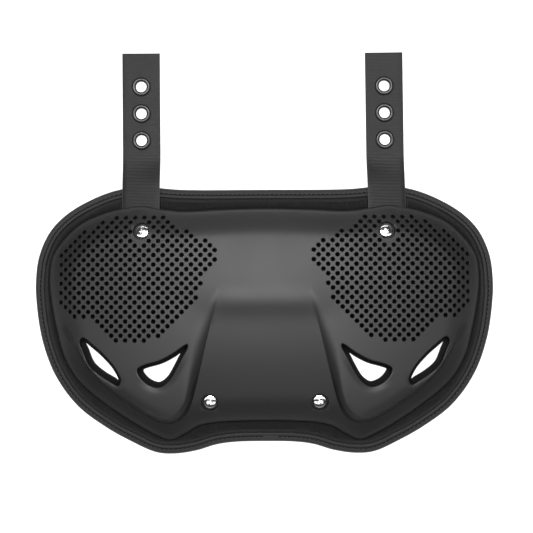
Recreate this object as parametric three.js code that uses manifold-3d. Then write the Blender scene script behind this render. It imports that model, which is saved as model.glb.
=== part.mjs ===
// A football back plate, lying on its padded side: a moulded shell on a bound foam pad, with two
// straps held between them. Millimetres, +X to the right, +Y towards the strap ends, +Z out of the
// front. The origin is the middle of the overall box, on the surface that the plate lies on.
import * as THREE from 'three';
import { mergeGeometries, mergeVertices } from 'three/addons/utils/BufferGeometryUtils.js';
import Module from 'manifold-3d';

const wasm = await Module();
wasm.setup();

// Driving sizes: the pad and its bow
const PAD_WIDTH = 340;
const PAD_LENGTH = 198;
const PAD_THICKNESS = 10;
const BOW_HEIGHT = 24;
const GAP = 0.3;

// The bow's crown and reach, as shares of the pad's length
const BOW = { crown: 0.525, reach: 0.6 };

// Driving sizes: the tape that binds the pad's edge
const TAPE_THICKNESS = 1.2;
const TAPE_COVER = 6.5;
const TAPE_SLACK = 0.6;
const TAPE_FOLD = 1.5;
const PUFF_RUN = 3.6;

// Driving sizes: the shell
const SHELL_THICKNESS = 2.5;
const SHELL_SIDE_MARGIN = 11.5;
const SHELL_TOP_MARGIN = 14.4;
const SHELL_BOTTOM_MARGIN = 11.6;
const SHELL_RISE = 2.5;
const SHELL_RISE_RUN = 20;
const LOBE_HEIGHT = 10;
const BROW_HEIGHT = 1.8;
const BROW_SPREAD = 13;
const VENT_INSET = 3;
const VENT_CORNER = 0.95;

// Driving sizes: the perforated fields
const HOLE_DIAMETER = 3;
const HOLE_PITCH = 6.9;
const HOLE_MARGIN = 8.6;
const HOLE_KEEP_OFF = 8.2;

// Driving sizes: the straps and their eyelets
const STRAP_WIDTH = 28;
const STRAP_THICKNESS = 2;
const STRAP_REACH = 100;
const STRAP_OFFSET = 3.2;
const STRAP_TUCK = 14;
const LANDING_CLEARANCE = 1;
const CHANNEL_SLACK = 1;
const EYELET_COUNT = 3;
const EYELET_PITCH = 20;
const EYELET_INSET = 25;
const EYELET_BORE = 8;
const EYELET_FLANGE = 14;
const EYELET_WALL = 0.9;
const EYELET_CROWN = 1.3;
const EYELET_EDGE = 0.6;

// Driving sizes: the screws and the posts behind them
const TOP_SCREW_SPREAD = 175.4;
const TOP_SCREW_DROP = 35.8;
const BOTTOM_SCREW_SPREAD = 78.5;
const BOTTOM_SCREW_INSET = 16.5;
const SCREW_HEAD = 10.4;
const SCREW_CROWN = 2.4;
const SCREW_EDGE = 0.4;
const SCREW_SHOULDER = { out: 0.55, up: 0.85 };
const SCREW_SHANK = 4;
const SEAT_DIAMETER = 12.6;
const SEAT_WALL = 1.2;
const SEAT_FLOOR = 1.4;
const POST_BARREL = 6;
const POST_FLANGE = 14;
const POST_FLANGE_THICKNESS = 1.4;
const POST_FLOOR = 3;

// Where the pieces lie, worked out from the sizes above
const padHalf = PAD_WIDTH / 2;
const padBottom = -(PAD_LENGTH + STRAP_REACH) / 2;
const padTop = padBottom + PAD_LENGTH;
const crownY = padBottom + BOW.crown * PAD_LENGTH;
const bowReach = BOW.reach * PAD_LENGTH;
const shellHalf = padHalf - SHELL_SIDE_MARGIN;
const shellBottom = padBottom + SHELL_BOTTOM_MARGIN;
const shellLength = PAD_LENGTH - SHELL_TOP_MARGIN - SHELL_BOTTOM_MARGIN;
const shellSeat = PAD_THICKNESS + GAP;
const strapSeat = PAD_THICKNESS - STRAP_THICKNESS;
const tapeTop = strapSeat - GAP;
const rimBack = TAPE_THICKNESS + TAPE_SLACK;
const rimFront = tapeTop - TAPE_THICKNESS - TAPE_SLACK;
const strapX = TOP_SCREW_SPREAD / 2 + STRAP_OFFSET;
const topScrewY = padTop - TOP_SCREW_DROP;
const strapEndY = topScrewY - STRAP_TUCK;
const strapLength = padTop + STRAP_REACH - strapEndY;
const lastEyelet = EYELET_INSET + (EYELET_COUNT - 1) * EYELET_PITCH;
const landing = STRAP_REACH - lastEyelet - EYELET_FLANGE / 2 - LANDING_CLEARANCE;
const cutReach = 2 * (BOW_HEIGHT + PAD_THICKNESS + SHELL_THICKNESS + SHELL_RISE + LOBE_HEIGHT);

// Outlines of the right-hand half, from the bottom middle round to the top middle, as shares of
// half the piece's width (across) and of its length (up)
const PAD_OUTLINE = [
  { across: 0, up: 0.049 }, { across: 0.135, up: 0.046 }, { across: 0.213, up: 0.036 },
  { across: 0.299, up: 0.013 }, { across: 0.395, up: 0 }, { across: 0.476, up: 0.005 },
  { across: 0.591, up: 0.049 }, { across: 0.696, up: 0.1 }, { across: 0.819, up: 0.18 },
  { across: 0.914, up: 0.292 }, { across: 0.97, up: 0.42 }, { across: 0.997, up: 0.563 },
  { across: 1, up: 0.65 }, { across: 0.985, up: 0.743 }, { across: 0.937, up: 0.834 },
  { across: 0.861, up: 0.901 }, { across: 0.741, up: 0.96 }, { across: 0.631, up: 0.992 },
  { across: 0.524, up: 1 }, { across: 0.359, up: 0.989 }, { across: 0, up: 0.987 },
];
const SHELL_OUTLINE = [
  { across: 0, up: 0.085 }, { across: 0.159, up: 0.082 }, { across: 0.252, up: 0.074 },
  { across: 0.308, up: 0.061 }, { across: 0.373, up: 0.026 }, { across: 0.439, up: 0 },
  { across: 0.499, up: 0.018 }, { across: 0.671, up: 0.111 }, { across: 0.858, up: 0.248 },
  { across: 0.929, up: 0.352 }, { across: 0.964, up: 0.467 }, { across: 0.994, up: 0.617 },
  { across: 1, up: 0.702 }, { across: 0.986, up: 0.785 }, { across: 0.926, up: 0.866 },
  { across: 0.846, up: 0.929 }, { across: 0.74, up: 0.971 }, { across: 0.659, up: 0.989 },
  { across: 0.573, up: 1 }, { across: 0.485, up: 0.987 }, { across: 0.382, up: 0.976 },
  { across: 0.198, up: 0.982 }, { across: 0, up: 0.986 },
];

// The right-hand vents, as shares of half the shell's width and of its length
const OUTER_VENT = [
  { across: 0.841, up: 0.438 }, { across: 0.855, up: 0.421 }, { across: 0.839, up: 0.383 },
  { across: 0.81, up: 0.321 }, { across: 0.759, up: 0.279 }, { across: 0.711, up: 0.252 },
  { across: 0.676, up: 0.236 }, { across: 0.662, up: 0.256 }, { across: 0.688, up: 0.31 },
  { across: 0.735, up: 0.361 }, { across: 0.782, up: 0.4 },
];
const INNER_VENT = [
  { across: 0.353, up: 0.412 }, { across: 0.353, up: 0.399 }, { across: 0.377, up: 0.357 },
  { across: 0.405, up: 0.307 }, { across: 0.441, up: 0.256 }, { across: 0.487, up: 0.23 },
  { across: 0.539, up: 0.244 }, { across: 0.577, up: 0.28 }, { across: 0.584, up: 0.306 },
  { across: 0.557, up: 0.322 }, { across: 0.479, up: 0.344 }, { across: 0.423, up: 0.371 },
];

// The right-hand lobe: the crest is the edge of its raised top and the foot is where its wall
// meets the flange, both from the outer end round the tip to the inner end
const LOBE_CREST = [
  { across: 0.933, up: 0.503 }, { across: 0.896, up: 0.442 }, { across: 0.848, up: 0.366 },
  { across: 0.798, up: 0.299 }, { across: 0.733, up: 0.244 }, { across: 0.655, up: 0.192 },
  { across: 0.526, up: 0.127 }, { across: 0.48, up: 0.108 }, { across: 0.433, up: 0.107 },
  { across: 0.386, up: 0.14 }, { across: 0.364, up: 0.201 }, { across: 0.354, up: 0.294 },
  { across: 0.341, up: 0.399 }, { across: 0.299, up: 0.501 }, { across: 0.236, up: 0.623 },
  { across: 0.217, up: 0.66 },
];
const LOBE_FOOT = [
  { across: 0.937, up: 0.502 }, { across: 0.902, up: 0.435 }, { across: 0.855, up: 0.359 },
  { across: 0.808, up: 0.29 }, { across: 0.741, up: 0.229 }, { across: 0.669, up: 0.176 },
  { across: 0.53, up: 0.094 }, { across: 0.484, up: 0.076 }, { across: 0.446, up: 0.07 },
  { across: 0.402, up: 0.08 }, { across: 0.362, up: 0.114 }, { across: 0.338, up: 0.159 },
  { across: 0.301, up: 0.288 }, { across: 0.254, up: 0.471 }, { across: 0.22, up: 0.597 },
  { across: 0.211, up: 0.658 },
];

// The lobe grows from nothing along a line between its two ends to its full height at the tip
const LOBE_FADE = { across: 0.933, up: 0.503, slope: 0.214, run: 0.503, ease: 1.25 };

// The low brow across the middle of the panel: how far up it lies, how wide its full height is
// and how wide it fades, as shares of the shell's length and half its width
const BROW = { up: 0.619, flat: 0.15, fade: 0.25 };

// The perforated field: the first and last hole of each staggered row, counted from the shell's
// side. One hole in HOLE_STEP is cut along every second row.
const FIRST_HOLE = [6, 4, 4, 2, 2, 1, 1, 0, 0, 0, 0, 0, 0, 0, 0, 0, 0, 0, 0, 0, 1, 1, 4, 4, 5, 5, 6];
const LAST_HOLE = [
  11, 11, 12, 13, 14, 15, 16, 16, 16, 16, 16, 15, 15, 14, 15, 14, 14, 14, 14, 13, 13, 12, 12, 11,
  11, 10, 9,
];
const HOLE_STEP = 4;

// How finely curves and surfaces are divided
const EDGE_STEPS = 68;
const SHELL_MESH = 15;
const PAD_MESH = 22;
const LINE_STEPS = 42;
const VENT_STEPS = 22;
const STRAP_STEPS = 16;
const ROUND_SIDES = 12;
const HOLE_SIDES = 6;
const FILL_CLEARANCE = 0.36;
const MESH_NUDGE = 0.01;
const THINNEST_FACE = 0.05;

// Small helpers
const clamp = THREE.MathUtils.clamp;
const smooth = (value) => THREE.MathUtils.smoothstep(value, 0, 1);
const point = (x, y) => new THREE.Vector2(x, y);

const onPad = ({ across, up }) => point(across * padHalf, padBottom + up * PAD_LENGTH);
const onShell = ({ across, up }) => point(across * shellHalf, shellBottom + up * shellLength);

function curveThrough(points, closed, steps) {
  const route = points.map(({ x, y }) => new THREE.Vector3(x, y, 0));
  const curve = new THREE.CatmullRomCurve3(route, closed, 'centripetal');
  const spaced = curve.getSpacedPoints(steps).map(({ x, y }) => point(x, y));
  return closed ? spaced.slice(0, steps) : spaced;
}

function mirroredOutline(half, place) {
  const right = half.map(place);
  const left = right.slice(1, -1).reverse().map(({ x, y }) => point(-x, y));
  return curveThrough([...right, ...left], true, EDGE_STEPS);
}

// How deep a place lies inside a closed outline, negative outside it
function depthInside(outline, x, y) {
  let nearest = Infinity;
  let inside = false;
  outline.forEach((a, i) => {
    const b = outline[(i + 1) % outline.length];
    const run = (x - a.x) * (b.x - a.x) + (y - a.y) * (b.y - a.y);
    const along = clamp(run / a.distanceToSquared(b), 0, 1);
    const away = Math.hypot(x - a.x - along * (b.x - a.x), y - a.y - along * (b.y - a.y));
    nearest = Math.min(nearest, away);
    if (a.y > y !== b.y > y && x < a.x + ((y - a.y) / (b.y - a.y)) * (b.x - a.x)) inside = !inside;
  });
  return inside ? nearest : -nearest;
}

// The outline moved inwards, for outlines that run anticlockwise
function inset(outline, by) {
  return outline.map((here, i) => {
    const before = outline[(i + outline.length - 1) % outline.length];
    const after = outline[(i + 1) % outline.length];
    const along = after.clone().sub(before).normalize();
    return point(here.x - along.y * by, here.y + along.x * by);
  });
}

const padOutline = mirroredOutline(PAD_OUTLINE, onPad);
const shellOutline = mirroredOutline(SHELL_OUTLINE, onShell);
const crestLine = curveThrough(LOBE_CREST.map(onShell), false, LINE_STEPS);
const footLine = curveThrough(LOBE_FOOT.map(onShell), false, LINE_STEPS);
const vents = [OUTER_VENT, INNER_VENT].map((vent) => {
  const outline = curveThrough(vent.map(onShell), true, VENT_STEPS);
  return THREE.ShapeUtils.isClockWise(outline) ? outline.reverse() : outline;
});
const mirrored = (outline) => outline.map(({ x, y }) => point(-x, y)).reverse();

// The pad's back: a shallow dome whose rim lies on the surface
function bow(x, y) {
  const share = 1 - (x / padHalf) ** 2 - ((y - crownY) / bowReach) ** 2;
  return BOW_HEIGHT * Math.max(0, share);
}

function bowNormal(x, y) {
  const slopeX = (-2 * BOW_HEIGHT * x) / padHalf ** 2;
  const slopeY = (-2 * BOW_HEIGHT * (y - crownY)) / bowReach ** 2;
  return new THREE.Vector3(-slopeX, -slopeY, 1).normalize();
}

function padBack(x, y) {
  const past = depthInside(padOutline, x, y) - TAPE_COVER - GAP;
  return bow(x, y) + rimBack * (1 - smooth(past / (PUFF_RUN / 2)));
}

function padFront(x, y) {
  const past = depthInside(padOutline, x, y) - TAPE_COVER - GAP;
  return bow(x, y) + rimFront + (PAD_THICKNESS - rimFront) * smooth(past / PUFF_RUN);
}

function lobeLift(x, y) {
  const across = Math.abs(x) / shellHalf;
  const up = (y - shellBottom) / shellLength;
  const below = LOBE_FADE.up + (LOBE_FADE.across - across) * LOBE_FADE.slope - up;
  const full = LOBE_HEIGHT * clamp(below / LOBE_FADE.run, 0, 1) ** LOBE_FADE.ease;
  const inCrest = depthInside(crestLine, Math.abs(x), y);
  const inFoot = depthInside(footLine, Math.abs(x), y);
  if (inCrest >= 0) return full;
  if (inFoot <= 0) return 0;
  const share = inFoot / (inFoot - inCrest);
  return full * (1 - (1 - share) ** 2);
}

function shellFront(x, y) {
  const rise = SHELL_RISE * smooth(depthInside(shellOutline, x, y) / SHELL_RISE_RUN);
  const browY = shellBottom + BROW.up * shellLength;
  const brow = BROW_HEIGHT * Math.exp(-(((y - browY) / BROW_SPREAD) ** 2));
  const middle = 1 - smooth((Math.abs(x) / shellHalf - BROW.flat) / BROW.fade);
  return bow(x, y) + shellSeat + SHELL_THICKNESS + rise + brow * middle + lobeLift(x, y);
}

// Triangles that join a cloud of points seen from above, made by adding one point at a time.
// A tiny nudge keeps four points from lying on one circle.
function triangulate(points) {
  const far = 100 * PAD_WIDTH;
  const cloud = points.map(({ x, y }, i) => {
    return point(x + MESH_NUDGE * Math.sin(12.9 * i), y + MESH_NUDGE * Math.sin(78.2 * i));
  });
  const count = points.length;
  cloud.push(point(-far, -far), point(far, -far), point(0, far));
  const face = (a, b, c) => {
    const [p, q, r] = [cloud[a], cloud[b], cloud[c]];
    const twice = 2 * ((q.x - p.x) * (r.y - p.y) - (q.y - p.y) * (r.x - p.x));
    const pq = q.distanceToSquared(p);
    const pr = r.distanceToSquared(p);
    const x = ((r.y - p.y) * pq - (q.y - p.y) * pr) / twice;
    const y = ((q.x - p.x) * pr - (r.x - p.x) * pq) / twice;
    return { corners: [a, b, c], centre: point(p.x + x, p.y + y), reach: x * x + y * y };
  };
  let faces = [face(count, count + 1, count + 2)];
  for (let i = 0; i < count; i += 1) {
    const open = new Map();
    faces = faces.filter(({ corners, centre, reach }) => {
      if (centre.distanceToSquared(cloud[i]) > reach) return true;
      corners.forEach((a, k) => {
        const b = corners[(k + 1) % 3];
        if (!open.delete(`${b} ${a}`)) open.set(`${a} ${b}`, [a, b]);
      });
      return false;
    });
    open.forEach(([a, b]) => faces.push(face(a, b, i)));
  }
  return faces.map(({ corners }) => corners).filter((corners) => corners.every((c) => c < count));
}

// The faces of a sheet whose edge is the first points of the cloud
function sheetFaces(outline, cloud) {
  return triangulate(cloud).filter((corners) => {
    const [a, b, c] = corners.map((i) => cloud[i]);
    const area = (b.x - a.x) * (c.y - a.y) - (b.y - a.y) * (c.x - a.x);
    const middle = a.clone().add(b).add(c).divideScalar(3);
    const long = Math.max(a.distanceTo(b), b.distanceTo(c), c.distanceTo(a));
    return area > THINNEST_FACE * long && depthInside(outline, middle.x, middle.y) > 0;
  });
}

// A closed body between a front and a back sheet of the same faces
function slab(front, back, faces) {
  const corners = [...front, ...back].flatMap(({ x, y, z }) => [x, y, z]);
  const count = front.length;
  const edges = new Set();
  const triangles = [];
  faces.forEach(([a, b, c]) => {
    triangles.push(a, b, c, a + count, c + count, b + count);
    [[a, b], [b, c], [c, a]].forEach(([from, to]) => edges.add(`${from} ${to}`));
  });
  edges.forEach((edge) => {
    const [a, b] = edge.split(' ').map(Number);
    if (!edges.has(`${b} ${a}`)) triangles.push(b, a, a + count, b, a + count, b + count);
  });
  const body = new THREE.BufferGeometry();
  body.setAttribute('position', new THREE.Float32BufferAttribute(corners, 3));
  body.setIndex(triangles);
  return body;
}

function solidOf(body) {
  const bare = body.clone();
  bare.deleteAttribute('normal');
  bare.deleteAttribute('uv');
  const merged = mergeVertices(bare, 1e-4);
  const vertProperties = new Float32Array(merged.attributes.position.array);
  const triVerts = new Uint32Array(merged.index.array);
  return new wasm.Manifold(new wasm.Mesh({ numProp: 3, vertProperties, triVerts }));
}

function bodyOf(solid) {
  const { vertProperties, triVerts } = solid.getMesh();
  const body = new THREE.BufferGeometry();
  body.setAttribute('position', new THREE.BufferAttribute(vertProperties, 3));
  body.setIndex(new THREE.BufferAttribute(triVerts, 1));
  body.computeVertexNormals();
  return body;
}

function prism(outline) {
  const body = new THREE.ExtrudeGeometry(new THREE.Shape(outline), {
    depth: cutReach,
    bevelEnabled: false,
  });
  return body.translate(0, 0, -cutReach / 4);
}

// A round bar from one height to another on the axis of a seat
function bar(diameter, low, high, seat, sides = ROUND_SIDES) {
  const body = new THREE.CylinderGeometry(diameter / 2, diameter / 2, high - low, sides);
  return body.rotateX(Math.PI / 2).translate(0, 0, (high + low) / 2).applyMatrix4(seat);
}

// A turned body on the axis of a seat, from a profile of radius and height
function turned(profile, seat) {
  const body = new THREE.LatheGeometry(profile.map(([r, z]) => point(r, z)), ROUND_SIDES);
  return body.rotateX(Math.PI / 2).applyMatrix4(seat);
}

// A seat square to the pad's back, and the middle of its mouth in the shell's front. Heights
// above the back shrink by the tilt there.
function seatAt(x, y) {
  const normal = bowNormal(x, y);
  const foot = new THREE.Vector3(x, y, bow(x, y));
  const turn = new THREE.Quaternion().setFromUnitVectors(new THREE.Vector3(0, 0, 1), normal);
  const seat = new THREE.Matrix4().compose(foot, turn, new THREE.Vector3(1, 1, 1));
  const face = (shellSeat + SHELL_THICKNESS + SHELL_RISE) * normal.z;
  const mouth = foot.clone().addScaledVector(normal, face);
  return { x, y, seat, face, mouth, level: (height) => height * normal.z };
}

const bottomScrewY = onShell(SHELL_OUTLINE[0]).y + BOTTOM_SCREW_INSET;
const screwSeats = {
  top_left: seatAt(-TOP_SCREW_SPREAD / 2, topScrewY),
  top_right: seatAt(TOP_SCREW_SPREAD / 2, topScrewY),
  bottom_left: seatAt(-BOTTOM_SCREW_SPREAD / 2, bottomScrewY),
  bottom_right: seatAt(BOTTOM_SCREW_SPREAD / 2, bottomScrewY),
};

const group = new THREE.Group();

function addPiece(name, body, { color, roughness, metalness = 0 }) {
  const material = new THREE.MeshStandardMaterial({ color, roughness, metalness });
  const piece = new THREE.Mesh(body, material);
  piece.name = name;
  group.add(piece);
}

const moulded = { color: 0x2b2b2c, roughness: 0.45 };
const fabric = { color: 0x17181a, roughness: 0.95 };
const tape = { color: 0x232427, roughness: 0.85 };
const webbing = { color: 0x2a2a2b, roughness: 0.6 };
const painted = { color: 0x0c0c0d, roughness: 0.3, metalness: 0.6 };
const chrome = { color: 0xd8d9dc, roughness: 0.12, metalness: 1 };
const steel = { color: 0x8b8d90, roughness: 0.4, metalness: 1 };

// Points of a staggered lattice inside an outline, clear of its edge and of other points
function lattice(outline, spacing, others) {
  const found = [];
  const edge = FILL_CLEARANCE * spacing;
  const rise = spacing * Math.sqrt(0.75);
  const rows = Math.ceil(PAD_LENGTH / 2 / rise);
  const columns = Math.ceil(padHalf / spacing);
  const middle = padBottom + PAD_LENGTH / 2;
  for (let row = -rows; row <= rows; row += 1) {
    for (let column = -columns; column <= columns; column += 1) {
      const place = point((column + (row % 2 ? 0.5 : 0)) * spacing, middle + row * rise);
      const clear = others.every((other) => other.distanceTo(place) > edge);
      if (clear && depthInside(outline, place.x, place.y) > edge) found.push(place);
    }
  }
  return found;
}

// Shell: a moulded sheet with a raised lobe at each lower corner. Its back follows its front at
// the wall's thickness, and never goes below the pad's front.
function shellSheet() {
  const walls = [crestLine, footLine].flatMap((line) => [...line, ...mirrored(line)]);
  const inner = walls.filter(({ x, y }) => depthInside(shellOutline, x, y) > SHELL_THICKNESS);
  const features = [...shellOutline, ...inner];
  const cloud = [...features, ...lattice(shellOutline, SHELL_MESH, features)];
  const faces = sheetFaces(shellOutline, cloud);
  const front = cloud.map(({ x, y }) => new THREE.Vector3(x, y, shellFront(x, y)));
  const normals = front.map(() => new THREE.Vector3());
  faces.forEach((corners) => {
    const facing = new THREE.Triangle(...corners.map((i) => front[i])).getNormal(new THREE.Vector3());
    corners.forEach((i, k) => {
      const toNext = front[corners[(k + 1) % 3]].clone().sub(front[i]);
      const toLast = front[corners[(k + 2) % 3]].clone().sub(front[i]);
      normals[i].addScaledVector(facing, toNext.angleTo(toLast));
    });
  });
  const back = front.map((corner, i) => {
    const place = corner.clone().addScaledVector(normals[i].normalize(), -SHELL_THICKNESS);
    place.z = Math.max(place.z, bow(place.x, place.y) + shellSeat);
    return place;
  });
  return slab(front, back, faces);
}

function holePlaces() {
  const places = [];
  const shellTop = shellBottom + shellLength;
  const { mouth } = screwSeats.top_right;
  for (let row = 0; row < FIRST_HOLE.length; row += 2) {
    for (let hole = FIRST_HOLE[row]; hole <= LAST_HOLE[row]; hole += 1) {
      if ((hole + row) % HOLE_STEP) continue;
      const x = shellHalf - HOLE_MARGIN - hole * HOLE_PITCH;
      const y = shellTop - HOLE_MARGIN - (row * HOLE_PITCH) / 2;
      const offScrew = Math.hypot(x - mouth.x, y - mouth.y) > HOLE_KEEP_OFF;
      const onSheet = depthInside(shellOutline, x, y) > HOLE_DIAMETER;
      const offVents = vents.every((vent) => depthInside(vent, x, y) < -HOLE_DIAMETER);
      if (offScrew && onSheet && offVents) places.push(point(x, y), point(-x, y));
    }
  }
  return places;
}

let shell = solidOf(shellSheet());
Object.values(screwSeats).forEach(({ seat, face, level }) => {
  const cup = SEAT_DIAMETER + 2 * SEAT_WALL;
  const floor = level(shellSeat) + SEAT_FLOOR;
  shell = shell.add(solidOf(bar(cup, level(shellSeat), face - SHELL_THICKNESS / 2, seat)));
  shell = shell.subtract(solidOf(bar(SEAT_DIAMETER, floor, face + SEAT_DIAMETER, seat)));
  shell = shell.subtract(solidOf(bar(SCREW_SHANK + 3 * GAP, 0, floor + GAP, seat)));
});
vents.flatMap((vent) => [vent, mirrored(vent)]).forEach((vent) => {
  shell = shell.subtract(solidOf(prism(vent)));
});
const holeBars = holePlaces().map(({ x, y }) => {
  const seat = new THREE.Matrix4().makeTranslation(x, y, 0);
  return bar(HOLE_DIAMETER, 0, cutReach, seat, HOLE_SIDES);
});
shell = shell.subtract(solidOf(mergeGeometries(holeBars)));
addPiece('shell', bodyOf(shell), moulded);

// Straps: flat webbing from below each top screw, over the binding and down to the surface
const STRAPS = {
  left: { side: -1, lean: -0.15 },
  right: { side: 1, lean: 0.55 },
};

function strapBack(x, y) {
  if (y <= padTop) return bow(x, y) + strapSeat;
  const along = Math.min(1, (y - padTop) / landing);
  const start = bow(x, padTop) + strapSeat;
  const slope = (-2 * BOW_HEIGHT * (padTop - crownY)) / bowReach ** 2;
  const fall = (2 * along ** 3 - 3 * along ** 2 + 1) * start;
  return fall + (along ** 3 - 2 * along ** 2 + along) * slope * landing;
}

function strapPlan({ side, lean }) {
  const plan = new THREE.Matrix4().makeTranslation(side * strapX, topScrewY, 0);
  return plan.multiply(new THREE.Matrix4().makeRotationZ(side * THREE.MathUtils.degToRad(lean)));
}

// A flat bar along a strap's route, wider than the strap by the slack and from one height to
// another above the strap's back
function strapBar(leaning, slack, low, high) {
  const width = STRAP_WIDTH + 2 * slack;
  const flat = new THREE.BoxGeometry(width, strapLength, high - low, 2, STRAP_STEPS, 1);
  flat.translate(0, strapLength / 2 - STRAP_TUCK - slack, (high + low) / 2);
  flat.applyMatrix4(strapPlan(leaning));
  const places = flat.attributes.position;
  for (let i = 0; i < places.count; i += 1) {
    places.setZ(i, places.getZ(i) + strapBack(places.getX(i), places.getY(i)));
  }
  return solidOf(flat);
}

// Pad: foam in fabric, pressed thin where the tape folds round it and under the straps
function padSheet() {
  const puff = TAPE_COVER + GAP + PUFF_RUN;
  const rings = [rimBack, TAPE_COVER + GAP, puff].map((by) => inset(padOutline, by));
  const middle = [...rings[2], ...lattice(rings[2], PAD_MESH, rings[2])];
  const cloud = [...rings[0], ...rings[1], ...middle];
  const count = padOutline.length;
  const faces = sheetFaces(rings[2], middle).map((corners) => corners.map((i) => i + 2 * count));
  for (let outer = 0; outer < 2 * count; outer += 1) {
    const next = outer % count === count - 1 ? outer + 1 - count : outer + 1;
    faces.push([outer, next, next + count], [outer, next + count, outer + count]);
  }
  const front = cloud.map(({ x, y }) => new THREE.Vector3(x, y, padFront(x, y)));
  const back = cloud.map(({ x, y }) => new THREE.Vector3(x, y, padBack(x, y)));
  return slab(front, back, faces);
}

let pad = solidOf(padSheet());
vents.forEach((vent) => {
  const opening = inset(vent, VENT_INSET).filter(({ x, y }) => {
    return depthInside(vent, x, y) > VENT_CORNER * VENT_INSET;
  });
  pad = pad.subtract(solidOf(prism(opening))).subtract(solidOf(prism(mirrored(opening))));
});
Object.values(screwSeats).forEach(({ seat, level }) => {
  const hole = bar(POST_BARREL + 3 * GAP, -PAD_THICKNESS, level(2 * PAD_THICKNESS), seat);
  pad = pad.subtract(solidOf(hole));
});
Object.values(STRAPS).forEach((leaning) => {
  pad = pad.subtract(strapBar(leaning, CHANNEL_SLACK, -GAP, PAD_THICKNESS));
});
addPiece('pad', bodyOf(pad), fabric);

// Binding: one tape folded round the pad's edge, a ring with a C-shaped section
function bindingRing() {
  const section = [
    [TAPE_COVER, 0], [TAPE_FOLD, 0], [0, TAPE_FOLD], [0, tapeTop - TAPE_FOLD],
    [TAPE_FOLD, tapeTop], [TAPE_COVER, tapeTop], [TAPE_COVER, tapeTop - TAPE_THICKNESS],
    [TAPE_THICKNESS, tapeTop - TAPE_THICKNESS], [TAPE_THICKNESS, TAPE_THICKNESS],
    [TAPE_COVER, TAPE_THICKNESS],
  ];
  const rings = section.map(([by]) => inset(padOutline, by));
  const corners = [];
  padOutline.forEach((_, station) => {
    section.forEach(([, height], k) => {
      const { x, y } = rings[k][station];
      corners.push(x, y, bow(x, y) + height);
    });
  });
  const count = section.length;
  const triangles = [];
  padOutline.forEach((_, station) => {
    const here = station * count;
    const next = ((station + 1) % padOutline.length) * count;
    for (let k = 0; k < count; k += 1) {
      const other = (k + 1) % count;
      triangles.push(here + k, next + k, next + other, here + k, next + other, here + other);
    }
  });
  const body = new THREE.BufferGeometry();
  body.setAttribute('position', new THREE.Float32BufferAttribute(corners, 3));
  body.setIndex(triangles);
  body.computeVertexNormals();
  return body;
}
addPiece('binding', bindingRing(), tape);

Object.entries(STRAPS).forEach(([name, leaning]) => {
  const plan = strapPlan(leaning);
  let strap = strapBar(leaning, 0, 0, STRAP_THICKNESS);
  const { seat, level } = screwSeats[`top_${name}`];
  const postHole = bar(POST_BARREL + 3 * GAP, 0, level(2 * PAD_THICKNESS), seat);
  strap = strap.subtract(solidOf(postHole));
  const barrel = EYELET_BORE + 2 * EYELET_WALL;
  for (let number = 1; number <= EYELET_COUNT; number += 1) {
    const along = strapLength - STRAP_TUCK - EYELET_INSET - (number - 1) * EYELET_PITCH;
    const place = plan.clone().multiply(new THREE.Matrix4().makeTranslation(0, along, 0));
    const hole = bar(barrel + 3 * GAP, -STRAP_THICKNESS, 2 * STRAP_THICKNESS, place);
    strap = strap.subtract(solidOf(hole));
    const seatHeight = STRAP_THICKNESS + GAP;
    const profile = [
      [EYELET_BORE / 2, 0], [barrel / 2, 0], [barrel / 2, seatHeight],
      [EYELET_FLANGE / 2, seatHeight], [(EYELET_FLANGE - EYELET_EDGE) / 2, seatHeight + EYELET_EDGE],
      [(EYELET_FLANGE + EYELET_BORE) / 4, seatHeight + EYELET_CROWN],
      [EYELET_BORE / 2, seatHeight + EYELET_EDGE], [EYELET_BORE / 2, 0],
    ];
    addPiece(`eyelet_${name}_${number}`, turned(profile, place), painted);
  }
  addPiece(`strap_${name}`, bodyOf(strap), webbing);
});

// Screws and posts: each screw goes through its sunk seat into a flanged post behind the pad
Object.entries(screwSeats).forEach(([name, { seat, level }]) => {
  const top = level(shellSeat) + SEAT_FLOOR + GAP;
  const shank = SCREW_SHANK / 2;
  const head = SCREW_HEAD / 2;
  const tip = POST_FLOOR + GAP;
  addPiece(`screw_${name}`, turned([
    [0, tip], [shank, tip], [shank, top], [head, top], [head, top + SCREW_EDGE],
    [SCREW_SHOULDER.out * head, top + SCREW_SHOULDER.up * SCREW_CROWN], [0, top + SCREW_CROWN],
  ], seat), chrome);
  const under = -2 * GAP;
  const mouth = level(shellSeat) - GAP;
  const barrel = POST_BARREL / 2;
  const flange = POST_FLANGE / 2;
  const bore = shank + GAP;
  addPiece(`post_${name}`, turned([
    [0, under - POST_FLANGE_THICKNESS], [flange, under - POST_FLANGE_THICKNESS], [flange, under],
    [barrel, under], [barrel, mouth], [bore, mouth], [bore, POST_FLOOR], [0, POST_FLOOR],
  ], seat), steel);
});

export default group;
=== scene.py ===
import math

import bpy
import numpy as np
from mathutils import Matrix, Vector
from mathutils.geometry import delaunay_2d_cdt
from mathutils.kdtree import KDTree


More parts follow.
